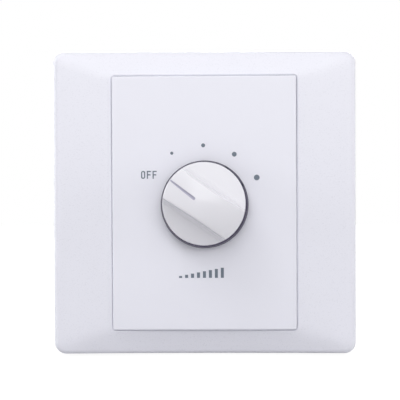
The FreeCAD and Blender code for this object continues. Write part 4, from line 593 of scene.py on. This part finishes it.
def strand_piece(name, routes, diameter, smooth):
    """Round strands along routes of points in millimetres, made one mesh."""
    deselect()
    curve = bpy.data.curves.new(name, "CURVE")
    curve.dimensions = "3D"
    curve.bevel_depth = diameter / 2
    curve.bevel_resolution = 3
    curve.resolution_u = 8
    curve.use_fill_caps = True
    for route in routes:
        spline = curve.splines.new("NURBS" if smooth else "POLY")
        spline.points.add(len(route) - 1)
        for point, place in zip(spline.points, route):
            point.co = (*[value * MM for value in place], 1.0)
        spline.order_u = 3
        spline.use_endpoint_u = True
    piece = bpy.data.objects.new(name, curve)
    bpy.context.scene.collection.objects.link(piece)
    piece.select_set(True)
    bpy.context.view_layer.objects.active = piece
    bpy.ops.object.convert(target="MESH")
    return bpy.context.object


def flattened(piece, y, rise, width):
    """Squeezes a piece towards a plane of the board until it stands this far out of it."""
    for vertex in piece.data.vertices:
        vertex.co.y = y * MM + (vertex.co.y - y * MM) * rise * MM / (width / 2)
    bpy.ops.object.shade_smooth_by_angle(angle=math.radians(30))


def joined_copies(piece, places, name):
    """Copies of a piece at places in millimetres, each with its own mesh, joined under a name."""
    deselect()
    for place in places:
        copy = piece.copy()
        copy.data = piece.data.copy()
        copy.data.transform(Matrix.Translation(Vector(place) * MM))
        bpy.context.scene.collection.objects.link(copy)
        copy.select_set(True)
        bpy.context.view_layer.objects.active = copy
    bpy.data.objects.remove(piece)
    bpy.ops.object.join()
    bpy.context.object.name = name
    return bpy.context.object


def settle(piece, material, body):
    """Gives a new piece its finish and its body."""
    piece.data.materials.clear()
    piece.data.materials.append(material)
    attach(piece, body)


# Operators for the CAD pieces and the new ones

class VOLUME_OT_front(bpy.types.Operator):
    """Finish the frame, the centre panel, the knob and the printed scale"""
    bl_idname = "volume.front"
    bl_label = "Front Finishes"

    def execute(self, context):
        front = context.scene.volume_front
        finish_nodes(moulded_abs_frame(front.frame_colour), "outer_frame")
        # The panel's colour carries painted light: a shade lighter than the frame's to thin the knob's
        # shadow
        finish_nodes(moulded_abs_panel(front.panel_colour_with_painted_light), "centre_panel")
        finish_nodes(moulded_abs_knob(front.knob_colour), "knob_cap")
        finish_nodes(moulded_abs_base(linear("D9D9DC")), "base_frame")
        finish_nodes(smoked_chrome(front.ring_colour), "knob_ring")
        # The pointer's groove gets a grey fill whose grey is painted shade of its walls
        finish_nodes(painted_groove_shade(front.groove_shade_colour), "pointer_paint")
        finish_nodes(pad_printed_ink(front.ink_colour), "printed_dots", "printed_off_mark",
                     "printed_level_mark")
        return {"FINISHED"}


class VOLUME_OT_switch(bpy.types.Operator):
    """Finish the rotary switch behind the panel"""
    bl_idname = "volume.switch"
    bl_label = "Switch Finishes"

    def execute(self, context):
        finish_nodes(die_cast_zinc(), "switch_bushing")
        finish_nodes(nickel_plated_brass(), "switch_nut")
        finish_nodes(turned_aluminium(), "switch_shaft", "switch_spacers")
        finish_nodes(spring_steel(), "knob_clip", "shaft_clip", "detent_spring")
        finish_nodes(acetal("moulded acetal, natural", linear("E4E0D2")), "detent_wheel")
        finish_nodes(glass_filled_nylon(), "detent_housing", "transformer_bobbin")
        finish_nodes(polished_ball_steel(), "detent_balls")
        finish_nodes(paper_phenolic(), "contact_rotor", "stator_wafer")
        finish_nodes(silver_plated_brass(), "wiper_contact", "stator_contacts")
        finish_nodes(zinc_plated_steel(), "switch_washer", "switch_tie_screws", "panel_screws",
                     "board_screws", "strap_screws", "strap_nuts", *numbered("terminal_screw"))
        return {"FINISHED"}


def back_tracks():
    """Routes on the board's back, from three steps of the switch to the nearer coil pins."""
    return [[STEP_PINS[1], (-5.4, 8.1), (-7.6, 10.3), BOBBIN_PINS[3]],
            [STEP_PINS[2], (0.38, 8.4), BOBBIN_PINS[4]],
            [STEP_PINS[3], (7.6, 9.2), BOBBIN_PINS[5]]]


def front_tracks():
    """Routes on the board's front: input, common, loudest step and output."""
    return [[BOBBIN_PINS[0], (-10.2, 33.2), (-14.0, 29.4), (-14.0, -16.5), TERMINAL_PINS[0]],
            [BOBBIN_PINS[1], (-3.8, 29.4), (-3.8, 18.0), (-11.0, 10.8), (-11.0, -9.0), (-3.81, -16.2),
             TERMINAL_PINS[1]],
            [TERMINAL_PINS[1], TERMINAL_PINS[2]],
            [STEP_PINS[4], (11.0, 8.3), (11.0, 29.8), BOBBIN_PINS[2]],
            [COMMON_PIN, (0.0, -7.67), TERMINAL_PINS[3]]]


class VOLUME_OT_board(bpy.types.Operator):
    """Finish the circuit board and its joints, and lay its tracks and pads"""
    bl_idname = "volume.board"
    bl_label = "Circuit Board"

    def execute(self, context):
        works = context.scene.volume_works
        finish_nodes(board_under_mask(works.board_colour), "circuit_board")
        solder = bright_solder()
        finish_nodes(solder, "solder_joints", "bobbin_pins")
        mask = mask_over_copper(works.board_colour)
        for name, y, routes in (("board_tracks_front", BOARD_FRONT, front_tracks()),
                                ("board_tracks_back", BOARD_BACK, back_tracks())):
            laid = [[(x, y, z) for x, z in route] for route in routes]
            tracks = strand_piece(name, laid, works.track_width, False)
            flattened(tracks, y, TRACK_RISE, works.track_width)
            settle(tracks, mask, "base")
        deselect()
        bpy.ops.mesh.primitive_torus_add(major_radius=PAD_RADIUS * MM, minor_radius=PAD_WIDTH / 2 * MM,
                                         major_segments=28, minor_segments=8,
                                         rotation=(math.radians(90), 0, 0))
        bpy.ops.object.transform_apply(location=False, rotation=True, scale=False)
        pad = bpy.context.object
        flattened(pad, 0, PAD_RISE, PAD_WIDTH * MM)
        places = [(x, y, z) for x, z in BOBBIN_PINS + STEP_PINS + [COMMON_PIN] + TERMINAL_PINS
                  for y in (BOARD_FRONT, BOARD_BACK)]
        settle(joined_copies(pad, places, "board_pads"), solder, "base")
        return {"FINISHED"}


def lead_route(x, side):
    """One lead-out wire: out of the winding, over the flange and rail, and under the rail to its pin."""
    face = BOBBIN_FLANGE_REACH + 0.17
    outline = [(20.6, face - 0.75), (20.1, face - 0.5), (19.75, face - 0.08), (19.3, face), (18.6, face),
               (14.3, face), (13.77, face - 0.02), (13.77, face - 0.6), (13.77, face - 1.9)]
    return [(x, y, TRANSFORMER_Z + side * reach) for y, reach in outline]


class VOLUME_OT_transformer(bpy.types.Operator):
    """Finish the transformer, and add its lead-out wires and the end of its tape"""
    bl_idname = "volume.transformer"
    bl_label = "Transformer"

    def execute(self, context):
        works = context.scene.volume_works
        finish_nodes(varnished_laminations(), "core_e_stack", "core_i_stack")
        finish_nodes(zinc_plated_sheet(), "transformer_strap")
        finish_nodes(enamelled_wire("enamelled copper wire, wound", 0.32), "transformer_winding")
        tape = polyester_film_tape("polyester film tape, yellow", works.tape_colour)
        finish_nodes(tape, "winding_tape")
        routes = [lead_route(x, side) for side in (-1, 1) for x in LEAD_PLACES]
        leads = strand_piece("winding_leads", routes, works.lead_diameter, True)
        settle(leads, enamelled_wire("enamelled copper wire, single", 2.0), "base")
        settle(tape_end(), tape, "base")
        return {"FINISHED"}


def tape_end():
    """The last turn of the winding's tape on its upper face, cut off with a toothed edge."""
    deselect()
    bpy.ops.mesh.primitive_grid_add(x_subdivisions=28, y_subdivisions=24, size=1.0)
    piece = bpy.context.object
    piece.name = "tape_end"
    start, end = -10.4, 5.2
    front, back = 19.8, 36.8
    surface = TRANSFORMER_Z + 13.3
    teeth = 12
    tooth_depth = 0.9
    film = 0.06
    for vertex in piece.data.vertices:
        along = vertex.co.x + 0.5
        across = vertex.co.y + 0.5
        tooth = abs((across * teeth) % 1.0 - 0.5) * 2
        reach = start + (end - start - tooth_depth * tooth) * along
        # The last tenth curls up, more towards the back
        curl = 3.5 * max(0.0, along - 0.9) * (0.4 + 0.6 * across)
        vertex.co = Vector((reach, front + (back - front) * across, surface + film / 2 + curl)) * MM
    solidify = piece.modifiers.new("film", "SOLIDIFY")
    solidify.thickness = film * MM
    solidify.offset = 0
    bpy.ops.object.modifier_apply(modifier="film")
    bpy.ops.object.shade_smooth_by_angle(angle=math.radians(40))
    return piece


class VOLUME_OT_terminals(bpy.types.Operator):
    """Finish the terminal block, its bars and its clamps"""
    bl_idname = "volume.terminals"
    bl_label = "Terminals"

    def execute(self, context):
        works = context.scene.volume_works
        finish_nodes(green_polyamide(works.terminal_colour), "terminal_block")
        finish_nodes(tin_plated_brass(), "terminal_bars", *numbered("terminal_clamp"))
        return {"FINISHED"}


class VOLUME_OT_stage(bpy.types.Operator):
    """Set up the floor, the lamps, the room light and the camera"""
    bl_idname = "volume.stage"
    bl_label = "Stage"

    def execute(self, context):
        stage = context.scene.volume_stage
        add_floor()
        add_lamps(stage)
        add_room_light(stage)
        add_camera(stage)
        context.scene.view_settings.view_transform = "Standard"
        return {"FINISHED"}


def seen_directly(tree):
    """1 for rays from the camera, and for reflections and views through glass."""
    path = add_node(tree, "ShaderNodeLightPath")
    mirrored = add_node(tree, "ShaderNodeMath", links={0: path.outputs["Is Glossy Ray"],
                                                       1: path.outputs["Is Transmission Ray"]},
                        operation="MAXIMUM")
    return add_node(tree, "ShaderNodeMath", links={0: path.outputs["Is Camera Ray"],
                                                   1: mirrored.outputs[0]},
                    operation="MAXIMUM").outputs[0]


def add_floor():
    """A floor that is seen as white with the object's shadow, and lights the object as a pale grey one."""
    deselect()
    lowest = CAD_BOX[0][2]
    bpy.ops.mesh.primitive_plane_add(size=FLOOR_SIDE, location=(0, 0, lowest - FLOOR_GAP))
    floor = bpy.context.object
    floor.name = "floor"
    material = bpy.data.materials.new("white studio floor")
    material.use_nodes = True
    tree = material.node_tree
    tree.nodes.clear()
    plain = add_node(tree, "ShaderNodeBsdfDiffuse", {"Color": opaque(linear("BCBCBE"))})
    glow = add_node(tree, "ShaderNodeEmission", {"Color": (1, 1, 1, 1), "Strength": 0.93})
    shaded = add_node(tree, "ShaderNodeBsdfDiffuse", {"Color": (0.17, 0.17, 0.17, 1)})
    white = add_node(tree, "ShaderNodeAddShader", links={0: glow.outputs[0], 1: shaded.outputs[0]})
    mix = add_node(tree, "ShaderNodeMixShader",
                   links={0: seen_directly(tree), 1: plain.outputs[0], 2: white.outputs[0]})
    add_node(tree, "ShaderNodeOutputMaterial", links={"Surface": mix.outputs[0]})
    floor.data.materials.append(material)


def add_lamp(name, place, size, power):
    """A square lamp that looks at the middle of the plate."""
    lamp = bpy.data.lights.new(name, "AREA")
    lamp.size = size
    lamp.energy = power
    holder = bpy.data.objects.new(name, lamp)
    bpy.context.scene.collection.objects.link(holder)
    holder.location = place
    holder.rotation_euler = (-Vector(place)).to_track_quat("-Z", "Y").to_euler()


def add_lamps(stage):
    """The square lamps of the list round the plate."""
    for name, around, aside, reach, size, power in LAMPS:
        turn = math.radians(around)
        tilt = math.radians(aside)
        direction = Vector((math.sin(tilt) * math.cos(turn),
                            -math.cos(tilt),
                            math.sin(tilt) * math.sin(turn)))
        add_lamp(name, direction * reach, size, power * stage.lamp_level)


def add_room_light(stage):
    """A faint even light from all round, in a room that is seen as white."""
    world = bpy.data.worlds.new("studio room")
    bpy.context.scene.world = world
    world.use_nodes = True
    tree = world.node_tree
    tree.nodes.clear()
    light = add_node(tree, "ShaderNodeBackground",
                     {"Color": (1, 1, 1, 1), "Strength": stage.world_strength})
    seen = add_node(tree, "ShaderNodeBackground", {"Color": (1, 1, 1, 1), "Strength": 1.0})
    mix = add_node(tree, "ShaderNodeMixShader",
                   links={0: seen_directly(tree), 1: light.outputs[0], 2: seen.outputs[0]})
    add_node(tree, "ShaderNodeOutputWorld", links={"Surface": mix.outputs[0]})


def add_camera(stage):
    """The camera at the photograph's viewing angle and place."""
    camera = bpy.data.cameras.new("camera")
    camera.sensor_width = SENSOR_WIDTH
    camera.lens = stage.focal_pixels / PICTURE_SIDE * camera.sensor_width
    camera.clip_start = 0.01
    holder = bpy.data.objects.new("camera", camera)
    bpy.context.scene.collection.objects.link(holder)
    pitch = stage.camera_pitch
    yaw = stage.camera_yaw
    ray = Vector((math.sin(yaw) * math.cos(pitch), -math.cos(yaw) * math.cos(pitch), math.sin(pitch)))
    place = ray * stage.camera_distance
    ahead = (Vector(CAMERA_AIM) - place).normalized()
    level_right = ahead.cross(Vector((0, 0, 1))).normalized()
    level_up = level_right.cross(ahead)
    roll = stage.camera_roll
    right = level_right * math.cos(roll) - level_up * math.sin(roll)
    up = level_up * math.cos(roll) + level_right * math.sin(roll)
    place = place + right * CAMERA_RIGHT + up * CAMERA_UP
    turn = Matrix((right, up, -ahead)).transposed().to_4x4()
    holder.matrix_world = Matrix.Translation(place) @ turn
    bpy.context.scene.camera = holder


class VOLUME_PT_panel(bpy.types.Panel):
    bl_idname = "VOLUME_PT_panel"
    bl_label = "Volume Control"
    bl_space_type = "VIEW_3D"
    bl_region_type = "UI"
    bl_category = "Volume Control"

    def draw(self, context):
        for group in (context.scene.volume_front, context.scene.volume_works, context.scene.volume_stage):
            for name in group.__annotations__:
                self.layout.prop(group, name)
        for operator in OPERATORS:
            self.layout.operator(operator.bl_idname)


OPERATORS = (VOLUME_OT_front, VOLUME_OT_switch, VOLUME_OT_board, VOLUME_OT_transformer,
             VOLUME_OT_terminals, VOLUME_OT_stage)
CLASSES = (FrontSettings, WorksSettings, StageSettings, *OPERATORS, VOLUME_PT_panel)


def register():
    for each in CLASSES:
        bpy.utils.register_class(each)
    bpy.types.Scene.volume_front = bpy.props.PointerProperty(type=FrontSettings)
    bpy.types.Scene.volume_works = bpy.props.PointerProperty(type=WorksSettings)
    bpy.types.Scene.volume_stage = bpy.props.PointerProperty(type=StageSettings)


def unregister():
    del bpy.types.Scene.volume_stage
    del bpy.types.Scene.volume_works
    del bpy.types.Scene.volume_front
    for each in reversed(CLASSES):
        bpy.utils.unregister_class(each)


def main():
    register()
    bpy.ops.volume.front()
    bpy.ops.volume.switch()
    bpy.ops.volume.board()
    bpy.ops.volume.transformer()
    bpy.ops.volume.terminals()
    bpy.ops.volume.stage()


if __name__ == "__main__":
    main()
